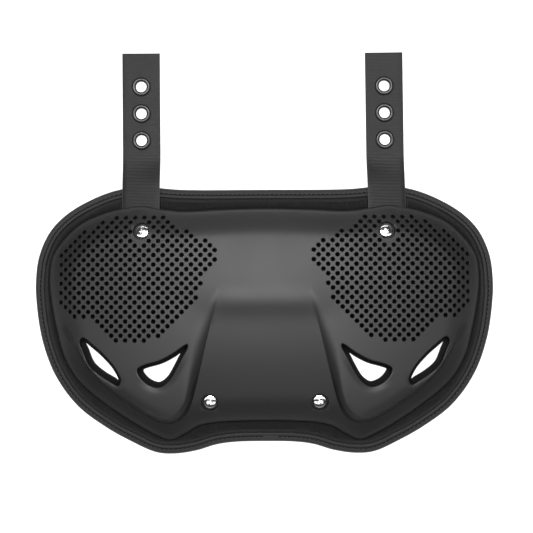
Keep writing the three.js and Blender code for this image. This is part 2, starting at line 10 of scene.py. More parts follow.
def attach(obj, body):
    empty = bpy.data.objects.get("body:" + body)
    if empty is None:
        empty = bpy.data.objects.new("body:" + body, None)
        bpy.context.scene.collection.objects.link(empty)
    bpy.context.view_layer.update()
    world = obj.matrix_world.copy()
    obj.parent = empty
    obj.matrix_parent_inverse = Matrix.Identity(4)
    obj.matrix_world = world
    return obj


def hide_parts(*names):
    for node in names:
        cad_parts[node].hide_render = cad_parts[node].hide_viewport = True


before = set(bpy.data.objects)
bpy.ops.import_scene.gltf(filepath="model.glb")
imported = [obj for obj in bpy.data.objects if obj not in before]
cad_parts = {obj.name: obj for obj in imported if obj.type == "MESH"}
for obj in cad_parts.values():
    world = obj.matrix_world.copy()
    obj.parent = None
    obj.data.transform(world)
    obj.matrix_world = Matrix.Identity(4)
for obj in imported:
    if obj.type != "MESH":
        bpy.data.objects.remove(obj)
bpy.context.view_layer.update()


# ---------------------------------------------------------------------------- foam pad
# The pad is foam in black knitted fabric, bowed to fit the lower back. Its edge is pressed thin
# where the tape is sewn on. It is cut out behind each vent, bored for each post and sunk a
# little where a strap lies on it.
PAD_HALF_WIDTH = 0.170
PAD_BOTTOM = -0.149
PAD_LENGTH = 0.198
PAD_THICKNESS = 0.010
BOW_HEIGHT = 0.024
BOW_REACH = 0.6 * PAD_LENGTH
CROWN_Y = PAD_BOTTOM + 0.525 * PAD_LENGTH
GAP = 0.0003
PAD_EDGE_INSET = 0.0018
PAD_EDGE_LOW = 0.0018
PAD_EDGE_HIGH = 0.0059
TAPE_COVER = 0.0065
PUFF_RUN = 0.0036
TOP_SCREW_X = 0.0877
STRAP_X = TOP_SCREW_X + 0.0032
STRAP_WIDTH = 0.028
STRAP_THICKNESS = 0.002
STRAP_SEAT = PAD_THICKNESS - STRAP_THICKNESS
STRAP_LANDING = 0.027
STRAP_TUCK = 0.014
PAD_TOP = PAD_BOTTOM + PAD_LENGTH
TOP_SCREW_Y = PAD_TOP - 0.0358
BOTTOM_SCREW_X = 0.03925
BOTTOM_SCREW_Y = -0.10628
SCREW_SEATS = [
    (-TOP_SCREW_X, TOP_SCREW_Y), (TOP_SCREW_X, TOP_SCREW_Y),
    (-BOTTOM_SCREW_X, BOTTOM_SCREW_Y), (BOTTOM_SCREW_X, BOTTOM_SCREW_Y),
]
POST_BORE = 0.0069
POST_BORE_SIDES = 24
POST_DIMPLE_DEPTH = 0.0011
POST_DIMPLE_REACH = 0.011
PAD_EDGE_ROUND = 0.0016
PAD_VENT_ROUND = 0.0022
POST_BORE_ROUND = 0.0003
PAD_MESH = 0.004
CHANNEL_SLACK = 0.0012
CHANNEL_LINES = (0.0011, 0.0014)
CHANNEL_REACH = 0.03
SMOOTH_BELOW = math.radians(38)

# Right-hand half of the pad's edge, as shares of its half width and of its length
PAD_EDGE = [
    (0, 0.049), (0.135, 0.046), (0.213, 0.036), (0.299, 0.013), (0.395, 0), (0.476, 0.005),
    (0.591, 0.049), (0.696, 0.1), (0.819, 0.18), (0.914, 0.292), (0.97, 0.42), (0.997, 0.563),
    (1, 0.65), (0.985, 0.743), (0.937, 0.834), (0.861, 0.901), (0.741, 0.96), (0.631, 0.992),
    (0.524, 1), (0.359, 0.989), (0, 0.987),
]

# Right-hand half of the shell's edge and its right-hand openings, as shares of the shell's half
# width and of its length
SHELL_HALF_WIDTH = 0.1585
SHELL_BOTTOM = -0.1374
SHELL_LENGTH = 0.172
SHELL_EDGE = [
    (0, 0.085), (0.159, 0.082), (0.252, 0.074), (0.308, 0.061), (0.373, 0.026), (0.439, 0),
    (0.499, 0.018), (0.671, 0.111), (0.858, 0.248), (0.929, 0.352), (0.964, 0.467),
    (0.994, 0.617), (1, 0.702), (0.986, 0.785), (0.926, 0.866), (0.846, 0.929), (0.74, 0.971),
    (0.659, 0.989), (0.573, 1), (0.485, 0.987), (0.382, 0.976), (0.198, 0.982), (0, 0.986),
]
OUTER_VENT = [
    (0.841, 0.438), (0.855, 0.421), (0.839, 0.383), (0.81, 0.321), (0.759, 0.279), (0.711, 0.252),
    (0.676, 0.236), (0.662, 0.256), (0.688, 0.31), (0.735, 0.361), (0.782, 0.4),
]
INNER_VENT = [
    (0.353, 0.412), (0.353, 0.399), (0.377, 0.357), (0.405, 0.307), (0.441, 0.256), (0.487, 0.23),
    (0.539, 0.244), (0.577, 0.28), (0.584, 0.306), (0.557, 0.322), (0.479, 0.344), (0.423, 0.371),
]
PAD_VENT_INSET = 0.003
CREASE_DEPTH = 0.0016
CREASE_RUN = 0.0011
# Extra mesh lines, by their distance in from the tape's cover and from the shell's edge
TAPE_CREASE_LINES = (-0.0007, 0, 0.0005, 0.0011, 0.002, 0.003)
SHELL_CREASE_LINES = (0.0003, -0.0003, -0.0009, -0.0015, -0.0022)


def curve_through(points, closed, count):
    """Evenly spaced places on a smooth curve through the points."""
    points = np.asarray(points, float)
    if closed:
        route = np.vstack([points[-1:], points, points[:2]])
    else:
        route = np.vstack([2 * points[0] - points[1], points, 2 * points[-1] - points[-2]])
    share = np.linspace(0, 1, 25)[:-1, None]
    dense = []
    for a, b, c, d in zip(route, route[1:], route[2:], route[3:]):
        ab, bc, cd = (math.sqrt(np.linalg.norm(q - p)) for p, q in ((a, b), (b, c), (c, d)))
        leave = ((b - a) / ab - (c - a) / (ab + bc) + (c - b) / bc) * bc
        arrive = ((c - b) / bc - (d - b) / (bc + cd) + (d - c) / cd) * bc
        bend = 3 * (c - b) - 2 * leave - arrive
        twist = 2 * (b - c) + leave + arrive
        dense.append(b + leave * share + bend * share ** 2 + twist * share ** 3)
    dense = np.vstack(dense + [route[-2:-1]])
    return spaced(dense, closed, count)


def spaced(dense, closed, count):
    """Evenly spaced places along a route of many points."""
    run = np.concatenate([[0], np.cumsum(np.linalg.norm(np.diff(dense, axis=0), axis=1))])
    marks = np.linspace(0, run[-1], count + 1 if closed else count)[:count]
    return np.column_stack([np.interp(marks, run, dense[:, axis]) for axis in (0, 1)])


def share_of(table, half_width, bottom, length):
    return np.array([(across * half_width, bottom + up * length) for across, up in table])


def on_shell(table):
    """A table of shares of the shell's half width and length, as places."""
    return share_of(table, SHELL_HALF_WIDTH, SHELL_BOTTOM, SHELL_LENGTH)


def mirrored(outline):
    return (outline * (-1, 1))[::-1]


def whole_outline(half, count):
    """The closed outline, anticlockwise, whose right-hand half is given."""
    return curve_through(np.vstack([half, mirrored(half[1:-1])]), True, count)


def moved_in(loop, by):
    """A loop moved towards the material, which lies on its left."""
    along = np.roll(loop, -1, axis=0) - np.roll(loop, 1, axis=0)
    along /= np.linalg.norm(along, axis=1)[:, None]
    return loop + by * np.column_stack([-along[:, 1], along[:, 0]])


def depth_inside(outline, places):
    """How deep each place lies inside a closed outline, negative outside it."""
    a = outline
    b = np.roll(outline, -1, axis=0)
    edge = b - a
    depths = []
    for part in np.array_split(places, max(1, len(places) // 3000)):
        off = part[:, None, :] - a[None]
        along = np.clip((off * edge).sum(2) / np.maximum((edge ** 2).sum(1), 1e-14), 0, 1)
        away = np.linalg.norm(off - along[..., None] * edge, axis=2).min(1)
        x, y = part[:, :1], part[:, 1:]
        rise = np.where(edge[:, 1] == 0, 1e-14, edge[:, 1])
        meets = a[:, 0] + (y - a[:, 1]) / rise * edge[:, 0]
        crossed = ((a[:, 1] > y) != (b[:, 1] > y)) & (x < meets)
        depths.append(np.where(crossed.sum(1) % 2, away, -away))
    return np.concatenate(depths)


def smooth(value):
    value = np.clip(value, 0, 1)
    return value * value * (3 - 2 * value)


def bow(places):
    """Height of the pad's back, a shallow dome whose rim lies on the surface."""
    x, y = places[:, 0], places[:, 1]
    share = 1 - (x / PAD_HALF_WIDTH) ** 2 - ((y - CROWN_Y) / BOW_REACH) ** 2
    return BOW_HEIGHT * np.maximum(0, share)


def square_to_bow(x, y):
    """The turn that stands something square to the pad's back."""
    slope_x = -2 * BOW_HEIGHT * x / PAD_HALF_WIDTH ** 2
    slope_y = -2 * BOW_HEIGHT * (y - CROWN_Y) / BOW_REACH ** 2
    return Vector((0, 0, 1)).rotation_difference(Vector((-slope_x, -slope_y, 1)))


def flat_sheet(loops, lines, spacing):
    """Triangles between an outer loop and its openings. They follow the lines."""
    rows = [np.asarray(loop) for loop in loops]
    edges = []
    starts = np.cumsum([0] + [len(row) for row in rows])
    for start, row in zip(starts, rows):
        edges += [(start + k, start + (k + 1) % len(row)) for k in range(len(row))]
    for line in lines:
        clear = depth_inside(loops[0], line) > 0.3 * spacing
        for opening in loops[1:]:
            clear &= depth_inside(opening, line) < -0.2 * spacing
        numbers = np.cumsum(clear) - 1 + sum(len(row) for row in rows)
        joined = np.flatnonzero(clear[:-1] & clear[1:])
        edges += [(numbers[k], numbers[k + 1]) for k in joined]
        rows.append(line[clear])
    marks = np.vstack(rows)
    low, high = loops[0].min(0), loops[0].max(0)
    rise = spacing * math.sqrt(0.75)
    grid = [
        (low[0] + (column + (row % 2) / 2) * spacing, low[1] + row * rise)
        for row in range(int((high[1] - low[1]) / rise) + 1)
        for column in range(int((high[0] - low[0]) / spacing) + 1)
    ]
    grid = np.array(grid)
    grid = grid[depth_inside(loops[0], grid) > 0.5 * spacing]
    near = KDTree(len(marks))
    for k, (x, y) in enumerate(marks):
        near.insert((x, y, 0), k)
    near.balance()
    grid = np.array([place for place in grid if near.find((*place, 0))[2] > 0.55 * spacing])
    places = np.vstack([marks, grid]) * 1000
    pairs = [(int(a), int(b)) for a, b in edges]
    found = delaunay_2d_cdt([Vector(place) for place in places], pairs, [], 1, 1e-5)
    flat = np.array([tuple(place) for place in found[0]]) / 1000
    faces = np.array([list(face) for face in found[2]])
    middles = flat[faces].mean(1)
    inside = depth_inside(loops[0], middles) > 0
    for opening in loops[1:]:
        inside &= depth_inside(opening, middles) < 0
    faces = faces[inside]
    sides = flat[faces[:, 1:]] - flat[faces[:, :1]]
    turn = sides[:, 0, 0] * sides[:, 1, 1] - sides[:, 0, 1] * sides[:, 1, 0]
    faces[turn < 0] = faces[turn < 0][:, ::-1]
    number = {source: k for k, sources in enumerate(found[3]) for source in sources}
    rings = [[number[start + k] for k in range(len(loop))] for start, loop in zip(starts, loops)]
    return flat, faces, rings


def rolled_edge(loop, radius, surface, up=1, steps=4):
    """Rings that roll a surface over at an edge, from the sheet's own loop to the wall."""
    start = surface(moved_in(loop, radius))
    rings = []
    for turn in np.linspace(0, math.pi / 2, steps + 1):
        plan = moved_in(loop, radius * (1 - math.sin(turn)))
        rings.append(np.column_stack([plan, start - up * radius * (1 - math.cos(turn))]))
    return rings


def closed_shape(name, front, back, rims):
    """One closed mesh from a front sheet, a back sheet and the rings that join their loops."""
    front_places, front_faces, front_rings = front
    back_places, back_faces, back_rings = back
    shift = len(front_places)
    rows = [front_places, back_places]
    faces = [tuple(face) for face in front_faces]
    faces += [tuple(face[::-1] + shift) for face in back_faces]
    count = shift + len(back_places)
    for upper, lower, between in zip(front_rings, back_rings, rims):
        levels = [np.array(upper)]
        for ring in between:
            levels.append(np.arange(count, count + len(ring)))
            rows.append(ring)
            count += len(ring)
        levels.append(np.array(lower) + shift)
        for high, low in zip(levels, levels[1:]):
            faces += list(zip(low, np.roll(low, -1), np.roll(high, -1), high))
    return mesh_object(name, np.vstack(rows), faces)


def placed(name, data):
    """A new object in the scene."""
    piece = bpy.data.objects.new(name, data)
    bpy.context.scene.collection.objects.link(piece)
    return piece


def mesh_object(name, places, faces, sharp=SMOOTH_BELOW):
    mesh = bpy.data.meshes.new(name)
    faces = [[int(k) for k in face] for face in faces]
    mesh.from_pydata([tuple(place) for place in places], [], faces)
    mesh.validate()
    return shade(placed(name, mesh), sharp)


def shade(piece, sharp=SMOOTH_BELOW):
    piece.data.polygons.foreach_set("use_smooth", [True] * len(piece.data.polygons))
    piece.data.set_sharp_from_angle(angle=sharp)
    return piece


def wire(tree, kind, inputs=None, **settings):
    """A new node with its settings, its values and its links."""
    made = tree.nodes.new(kind)
    for key, value in settings.items():
        setattr(made, key, value)
    for key, value in (inputs or {}).items():
        if isinstance(value, bpy.types.NodeSocket):
            tree.links.new(value, made.inputs[key])
        else:
            made.inputs[key].default_value = value
    return made


def reckoned(tree, operation, *values):
    """The outcome of one sum."""
    return wire(tree, "ShaderNodeMath", dict(enumerate(values)), operation=operation).outputs[0]


def new_finish(name, color, roughness, **values):
    """A material, its tree and its shader, and the places that its patterns follow."""
    finish = bpy.data.materials.new(name)
    finish.use_nodes = True
    finish.diffuse_color = (*color, 1)
    tree = finish.node_tree
    shader = tree.nodes["Principled BSDF"]
    shader.inputs["Base Color"].default_value = (*color, 1)
    shader.inputs["Roughness"].default_value = roughness
    for key, value in values.items():
        shader.inputs[key.replace("_", " ")].default_value = value
    return finish, tree, shader, wire(tree, "ShaderNodeTexCoord").outputs["Object"]


def span(tree, value, low, high):
    """A value from 0 to 1 mapped to a range."""
    return wire(tree, "ShaderNodeMapRange", {0: value, 3: low, 4: high}).outputs[0]


def step_up(tree, value, low, high):
    """A value that rises from 0 to 1 between two limits."""
    return wire(tree, "ShaderNodeMapRange", {0: value, 1: low, 2: high}).outputs[0]


def tint(tree, factor, dark, light):
    """A colour between two, by a factor."""
    dark, light = (
        end if isinstance(end, bpy.types.NodeSocket) else (*end, 1) for end in (dark, light)
    )
    made = wire(tree, "ShaderNodeMix", {0: factor, 6: dark, 7: light}, data_type="RGBA")
    return made.outputs[2]


def clouds(tree, place, scale, detail, roughness=0.5):
    """A pattern of clouds from 0 to 1."""
    values = {"Vector": place, "Scale": scale, "Detail": detail, "Roughness": roughness}
    return wire(tree, "ShaderNodeTexNoise", values).outputs[0]


def bands(tree, place, scale, direction, bend=0, detail=2, detail_scale=1):
    """A pattern of fine bands from 0 to 1."""
    return wire(tree, "ShaderNodeTexWave", {
        "Vector": place, "Scale": scale, "Distortion": bend, "Detail": detail,
        "Detail Scale": detail_scale,
    }, bands_direction=direction).outputs[1]


def dress(tree, shader, color, relief, strength, distance):
    """Give a shader its colour and its fine relief."""
    tree.links.new(color, shader.inputs["Base Color"])
    values = {"Height": relief, "Strength": strength, "Distance": distance}
    bump = wire(tree, "ShaderNodeBump", values)
    tree.links.new(bump.outputs[0], shader.inputs["Normal"])


def knit_finish():
    finish, tree, shader, place = new_finish(
        "black knit over foam", (0.012, 0.012, 0.013), 0.92,
        Specular_IOR_Level=0.2, Sheen_Weight=0.08, Sheen_Roughness=0.5,
    )
    loops = bands(tree, place, 330, "X", 1.2, 1, 3)
    courses = bands(tree, place, 390, "Y", 1.2, 1, 3)
    knit = reckoned(tree, "MULTIPLY", loops, courses)
    fluff = clouds(tree, place, 1300, 3)
    specks = wire(tree, "ShaderNodeTexVoronoi", {"Vector": place, "Scale": 620, "Randomness": 1})
    bright = reckoned(tree, "LESS_THAN", specks.outputs["Distance"], 0.16)
    # Knit shows on the front and back; opening walls are painted plain and darker: painted shade
    normal = wire(tree, "ShaderNodeTexCoord").outputs["Normal"]
    level = wire(tree, "ShaderNodeSeparateXYZ", {0: normal}).outputs[2]
    outside = step_up(tree, reckoned(tree, "ABSOLUTE", level), 0.25, 0.65)
    shown = reckoned(tree, "MULTIPLY", knit, outside)
    fluffy = reckoned(tree, "MULTIPLY", reckoned(tree, "MULTIPLY", bright, fluff), outside)
    base = tint(tree, shown, (0.0025, 0.0025, 0.0028), (0.010, 0.010, 0.0105))
    color = tint(tree, fluffy, base, (0.05, 0.05, 0.052))
    dress(tree, shader, color, reckoned(tree, "ADD", knit, fluff), 0.6, 0.0003)
    return finish


def pad_outline(count):
    return whole_outline(share_of(PAD_EDGE, PAD_HALF_WIDTH, PAD_BOTTOM, PAD_LENGTH), count)


pad_edge = pad_outline(400)
shell_edge = whole_outline(on_shell(SHELL_EDGE), 520)
vent_outlines = []
for vent_table in (OUTER_VENT, INNER_VENT):
    vent_right = curve_through(on_shell(vent_table), True, 110)
    ahead = np.roll(vent_right, -1, axis=0)
    if (vent_right[:, 0] * ahead[:, 1] - vent_right[:, 1] * ahead[:, 0]).sum() > 0:
        vent_right = vent_right[::-1]
    vent_outlines += [vent_right, mirrored(vent_right)]


def pad_vent(vent):
    """The pad's opening behind a vent: smaller all round, with softer corners."""
    smaller = moved_in(vent, -PAD_VENT_INSET)
    smaller = smaller[depth_inside(vent, smaller) > 0.95 * PAD_VENT_INSET]
    return curve_through(smaller[::4], True, 80)


def round_hole(x, y, radius, count):
    turn = -np.arange(count) * 2 * math.pi / count
    return np.column_stack([x + radius * np.cos(turn), y + radius * np.sin(turn)])


# How far each strap leans in towards the middle, turned about its place beside its top screw
STRAP_LEANS = {"left": (-1, math.radians(-0.15)), "right": (1, math.radians(0.55))}


def strap_frame(side, lean, places):
    """Places across and along a strap, from its top screw."""
    off = places - (side * STRAP_X, TOP_SCREW_Y)
    turn = side * lean
    across = off[:, 0] * math.cos(turn) + off[:, 1] * math.sin(turn)
    along = off[:, 1] * math.cos(turn) - off[:, 0] * math.sin(turn)
    return across, along


def strap_plan(side, lean, across, along):
    """The plan of places on a strap, from their place across and along it."""
    turn = side * lean
    x = across * math.cos(turn) - along * math.sin(turn) + side * STRAP_X
    y = across * math.sin(turn) + along * math.cos(turn) + TOP_SCREW_Y
    return np.column_stack([x, y])


def strap_back(places):
    """Height of a strap's back: on the pad, then down to the surface past the pad's edge."""
    x, y = places[:, 0], places[:, 1]
    edge = np.column_stack([x, np.full_like(x, PAD_TOP)])
    start = bow(edge) + STRAP_SEAT
    slope = -2 * BOW_HEIGHT * (PAD_TOP - CROWN_Y) / BOW_REACH ** 2 * STRAP_LANDING
    share = np.clip((y - PAD_TOP) / STRAP_LANDING, 0, 1)
    fall = (2 * share ** 3 - 3 * share ** 2 + 1) * start
    fall += (share ** 3 - 2 * share ** 2 + share) * slope
    return np.where(y <= PAD_TOP, bow(places) + STRAP_SEAT, fall)


def pad_front(places):
    past = depth_inside(pad_edge, places) - TAPE_COVER - GAP
    face = PAD_EDGE_HIGH + (PAD_THICKNESS - PAD_EDGE_HIGH) * smooth(past / PUFF_RUN)
    face -= CREASE_DEPTH / 2 * np.exp(-((past + GAP) / CREASE_RUN * 2) ** 2)
    beside = np.minimum(depth_inside(shell_edge, places), 0)
    face -= CREASE_DEPTH * np.exp(-(beside / CREASE_RUN) ** 2)
    height = bow(places) + face
    for side, lean in STRAP_LEANS.values():
        across, along = strap_frame(side, lean, places)
        sunk = np.abs(across) < STRAP_WIDTH / 2 + CHANNEL_SLACK
        sunk &= along > -STRAP_TUCK - CHANNEL_SLACK
        height = np.where(sunk, np.minimum(height, strap_back(places) - GAP), height)
    return height


def pad_back(places):
    past = depth_inside(pad_edge, places) - TAPE_COVER - GAP
    height = bow(places) + PAD_EDGE_LOW * (1 - smooth(past / PUFF_RUN * 2))
    for x, y in SCREW_SEATS:
        away = np.hypot(places[:, 0] - x, places[:, 1] - y)
        height = height + POST_DIMPLE_DEPTH * np.exp(-(away / POST_DIMPLE_REACH) ** 2)
    return height


def strap_channel_lines():
    """Lines beside each strap that give the sunk strip a crisp edge."""
    found = []
    for side, lean in STRAP_LEANS.values():
        for slack in CHANNEL_LINES:
            half = STRAP_WIDTH / 2 + slack
            start, end = -STRAP_TUCK - slack, CHANNEL_REACH
            corner = [(-half, end), (-half, start), (half, start), (half, end)]
            pairs = zip(corner, corner[1:])
            dense = np.vstack([np.linspace(a, b, 60)[:-1] for a, b in pairs])
            found.append(strap_plan(side, lean, dense[:, 0], dense[:, 1]))
    return found


def post_bore(x, y, height):
    """The plan of a post's bore at a height above the pad's back, along the post's axis."""
    square = np.array(square_to_bow(x, y).to_matrix())
    flat = round_hole(0, 0, POST_BORE / 2, POST_BORE_SIDES)
    ring = np.column_stack([flat, np.full(len(flat), height * square[2][2])]) @ square.T
    return ring[:, :2] + (x, y)


def make_pad():
    edge = moved_in(pad_edge, PAD_EDGE_INSET)
    openings = [pad_vent(vent) for vent in vent_outlines]
    radii = [PAD_EDGE_ROUND] + [PAD_VENT_ROUND] * 4 + [POST_BORE_ROUND] * 4
    sheets = []
    walls = []
    sides = ((pad_front, PAD_THICKNESS, strap_channel_lines()), (pad_back, 0, []))
    for surface, depth, lines in sides:
        bores = [post_bore(x, y, depth) for x, y in SCREW_SEATS]
        loops = [edge, *openings, *bores]
        walls.append(loops)
        rings = [moved_in(loop, radius) for loop, radius in zip(loops, radii)]
        lines += [moved_in(pad_edge, TAPE_COVER + by) for by in TAPE_CREASE_LINES]
        lines += [moved_in(shell_edge, by) for by in SHELL_CREASE_LINES]
        flat, faces, numbers = flat_sheet(rings, lines, PAD_MESH)
        sheets.append((np.column_stack([flat, surface(flat)]), faces, numbers))
    rims = []
    for upper, lower, radius in zip(*walls, radii):
        down = rolled_edge(upper, radius, pad_front)[1:]
        up = rolled_edge(lower, radius, pad_back, up=-1)[1:]
        rims.append(down + up[::-1])
    return closed_shape("pad_cover", *sheets, rims)


pad_cover = make_pad()
pad_cover.data.materials.append(knit_finish())
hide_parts("pad")
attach(pad_cover, "root")


# ---------------------------------------------------------------------------- binding
# The binding is one dark tape, folded round the pad's edge from front to back and sewn through
# with a zigzag thread. Its two ends lap over each other at the bottom, right of the middle.
TAPE_TOP = STRAP_SEAT - GAP
TAPE_THICKNESS = 0.0011
TAPE_FOLD = 0.0026
TAPE_PUCKER = 0.00006
STITCHES_A_PUCKER = 2.4
TAPE_STATIONS = 720
STITCH_INSET = 0.0042
STITCH_PITCH = 0.0017
STITCH_LENGTH = 0.0021
STITCH_BEND = 0.0012
STITCH_SWING = 38
THREAD_DIAMETER = 0.0009
THREAD_FRONT_SINK = 0.0003
THREAD_BACK_SINK = 0.0005
TAPE_LAP_X = 0.0035
TAPE_LAP_HALF = 0.006
TAPE_LAP_RUN = 0.0006
TAPE_LAP_STEP = 0.0005
# The tape's faces behind and in front: how far in from the pad's edge, and how far sunk there
TAPE_BACK = [
    (TAPE_COVER, 0.0001), (0.0055, 0), (0.0048, 0.0001), (STITCH_INSET, 0.0003), (0.0036, 0.0001),
]
TAPE_FRONT = [
    (0.0036, 0.0001), (STITCH_INSET, 0.0004), (0.0048, 0.0001), (0.0055, 0), (0.0062, 0.0001),
    (TAPE_COVER, 0.0004),
]


def geometry_tree(name, inputs):
    """A Geometry Nodes tree with named inputs, which also gives the outputs of its input node."""
    tree = bpy.data.node_groups.new(name, "GeometryNodeTree")
    tree.interface.new_socket("Geometry", in_out="INPUT", socket_type="NodeSocketGeometry")
    for label, kind in inputs:
        tree.interface.new_socket(label, in_out="INPUT", socket_type=kind)
    tree.interface.new_socket("Geometry", in_out="OUTPUT", socket_type="NodeSocketGeometry")
    return tree, tree.nodes.new("NodeGroupInput").outputs


def end_tree(tree, made, finish):
    real = wire(tree, "GeometryNodeRealizeInstances", {"Geometry": made})
    values = {"Geometry": real.outputs[0], "Material": finish}
    dressed = wire(tree, "GeometryNodeSetMaterial", values)
    tree.links.new(dressed.outputs[0], tree.nodes.new("NodeGroupOutput").inputs[0])


def set_on(tree, points, piece):
    """One piece on every point, with the point's turn."""
    turn = wire(tree, "GeometryNodeInputNamedAttribute", {"Name": "turn"}, data_type="FLOAT_VECTOR")
    values = {"Points": points, "Instance": piece, "Rotation": turn.outputs[0]}
    return wire(tree, "GeometryNodeInstanceOnPoints", values).outputs[0]


def keep_result(piece, modifier):
    """Put what a modifier makes in the place of the piece's plain mesh."""
    bpy.context.view_layer.update()
    ready = piece.evaluated_get(bpy.context.evaluated_depsgraph_get())
    made = bpy.data.meshes.new_from_object(ready)
    piece.modifiers.remove(modifier)
    piece.data = made


def grow(piece, tree, values, sharp=SMOOTH_BELOW):
    """Run a tree on a piece and keep the result as its plain mesh."""
    modifier = piece.modifiers.new(tree.name, "NODES")
    modifier.node_group = tree
    for item in tree.interface.items_tree:
        if item.in_out == "INPUT" and item.name in values:
            modifier[item.identifier] = values[item.name]
    keep_result(piece, modifier)
    return shade(piece, sharp)


def tape_finish():
    finish, tree, shader, place = new_finish(
        "dark folded tape", (0.022, 0.022, 0.024), 0.7,
        Specular_IOR_Level=0.3, Sheen_Weight=0.15, Sheen_Roughness=0.4,
    )
    along = wire(tree, "ShaderNodeUVMap", uv_map="tape").outputs[0]
    weft = bands(tree, along, 520, "X", 0.6, 2, 2)
    twill = bands(tree, along, 620, "DIAGONAL", 0.8, 1, 2)
    weave = reckoned(tree, "MULTIPLY", weft, twill)
    wear = clouds(tree, place, 60, 6, 0.7)
    shift = reckoned(tree, "MULTIPLY", weave, wear)
    color = tint(tree, shift, (0.016, 0.016, 0.0165), (0.040, 0.040, 0.041))
    tree.links.new(span(tree, wear, 0.55, 0.85), shader.inputs["Roughness"])
    dress(tree, shader, color, weave, 0.5, 0.00015)
    return finish


def thread_finish():
    finish, tree, shader, place = new_finish(
        "black thread", (0.008, 0.008, 0.009), 0.85, Specular_IOR_Level=0.1,
    )
    twist = bands(tree, place, 1500, "DIAGONAL")
    color = tint(tree, twist, (0.001, 0.001, 0.0012), (0.006, 0.006, 0.0065))
    dress(tree, shader, color, twist, 0.5, 0.0001)
    return finish


def folded(fold, half, count, turns):
    """A half round fold of the tape's section, from one face to the other."""
    swings = np.radians(np.linspace(*turns, count))
    return [(fold * (1 - math.cos(swing)), half * math.sin(swing)) for swing in swings]


def tape_section():
    """The tape's section: distance in from the pad's edge and height above the bow."""
    half, reach = TAPE_TOP / 2, TAPE_FOLD - TAPE_THICKNESS
    outer = list(TAPE_BACK)
    outer += [(by, half + up) for by, up in folded(TAPE_FOLD, half, 13, (-90, 90))]
    outer += [(by, TAPE_TOP - sunk) for by, sunk in TAPE_FRONT]
    inner = [(TAPE_COVER, TAPE_TOP - TAPE_THICKNESS)]
    for by, up in folded(reach, half - TAPE_THICKNESS, 7, (90, -90)):
        inner.append((TAPE_THICKNESS + by, half + up))
    inner.append((TAPE_COVER, TAPE_THICKNESS))
    return outer + inner


def swept_faces(stations, count, closed):
    """Faces between a section's places, carried from station to station."""
    faces = []
    for station in range(stations if closed else stations - 1):
        here, after = station * count, (station + 1) % stations * count
        for k in range(count):
            ahead = (k + 1) % count
            faces.append((here + k, after + k, after + ahead, here + ahead))
    return faces


def make_binding():
    section = tape_section()
    outline = pad_outline(TAPE_STATIONS)
    step = np.linalg.norm(outline[1] - outline[0])
    along = np.arange(len(outline)) * step
    pucker = TAPE_PUCKER * np.cos(2 * math.pi * along / STITCH_PITCH / STITCHES_A_PUCKER)
    lap = smooth((TAPE_LAP_HALF - np.abs(outline[:, 0] - TAPE_LAP_X)) / TAPE_LAP_RUN)
    lap = lap * (outline[:, 1] < 0) * TAPE_LAP_STEP
    rows = []
    for by, height in section:
        plan = moved_in(outline, by)
        swell = (height - TAPE_TOP / 2) / (TAPE_TOP / 2) * (pucker + lap)
        swell = np.maximum(swell, 0) * (height > TAPE_TOP / 2)
        rows.append(np.column_stack([plan, np.maximum(bow(plan) + height + swell, 0)]))
    count = len(section)
    places = np.stack(rows, axis=1).reshape(-1, 3)
    faces = swept_faces(len(outline), count, True)
    piece = mesh_object("binding_tape", places, faces, math.radians(50))
    lengths = np.linalg.norm(np.diff(section, axis=0), axis=1)
    widths = np.concatenate([[0], np.cumsum(lengths)])
    layer = piece.data.uv_layers.new(name="tape")
    corners = piece.data.loops
    for face in piece.data.polygons:
        stations = [corners[k].vertex_index // count for k in face.loop_indices]
        wraps = max(stations) - min(stations) > 1
        for k, station in zip(face.loop_indices, stations):
            turn = station + (len(outline) if wraps and station == 0 else 0)
            layer.data[k].uv = (turn * step, widths[corners[k].vertex_index % count])
    return piece


def stitch_tree(finish):
    """Short threads along a route of points, leaning left and right by turns."""
    tree, given = geometry_tree("zigzag stitches", [
        ("Thread diameter", "NodeSocketFloat"), ("Stitch length", "NodeSocketFloat"),
    ])
    radius = reckoned(tree, "MULTIPLY", given["Thread diameter"], 0.5)
    thread = wire(tree, "GeometryNodeMeshCylinder", {
        "Vertices": 6, "Side Segments": 3, "Radius": radius, "Depth": given["Stitch length"],
    })
    spot = wire(tree, "GeometryNodeInputPosition")
    parts = wire(tree, "ShaderNodeSeparateXYZ", {0: spot.outputs[0]})
    share = reckoned(tree, "DIVIDE", parts.outputs[2], given["Stitch length"])
    sink = reckoned(tree, "MULTIPLY", reckoned(tree, "MULTIPLY", share, share), -STITCH_BEND)
    lower = wire(tree, "ShaderNodeCombineXYZ", {0: sink})
    values = {"Geometry": thread.outputs[0], "Offset": lower.outputs[0]}
    bent = wire(tree, "GeometryNodeSetPosition", values)
    end_tree(tree, set_on(tree, given["Geometry"], bent.outputs[0]), finish)
    return tree


def point_piece(name, places, turns):
    """A piece of bare points, each with the turn of what is set on it."""
    mesh = bpy.data.meshes.new(name)
    mesh.from_pydata([tuple(place) for place in places], [], [])
    attribute = mesh.attributes.new("turn", "FLOAT_VECTOR", "POINT")
    attribute.data.foreach_set("vector", np.array(turns, np.float32).ravel())
    return placed(name, mesh)


def facing(forward, up):
    """The turn that lays +Z along a direction, with +X as near as can be to another."""
    forward = Vector(forward).normalized()
    side = forward.cross(Vector(up)).normalized()
    return Matrix((side.cross(forward), side, forward)).transposed().to_euler()


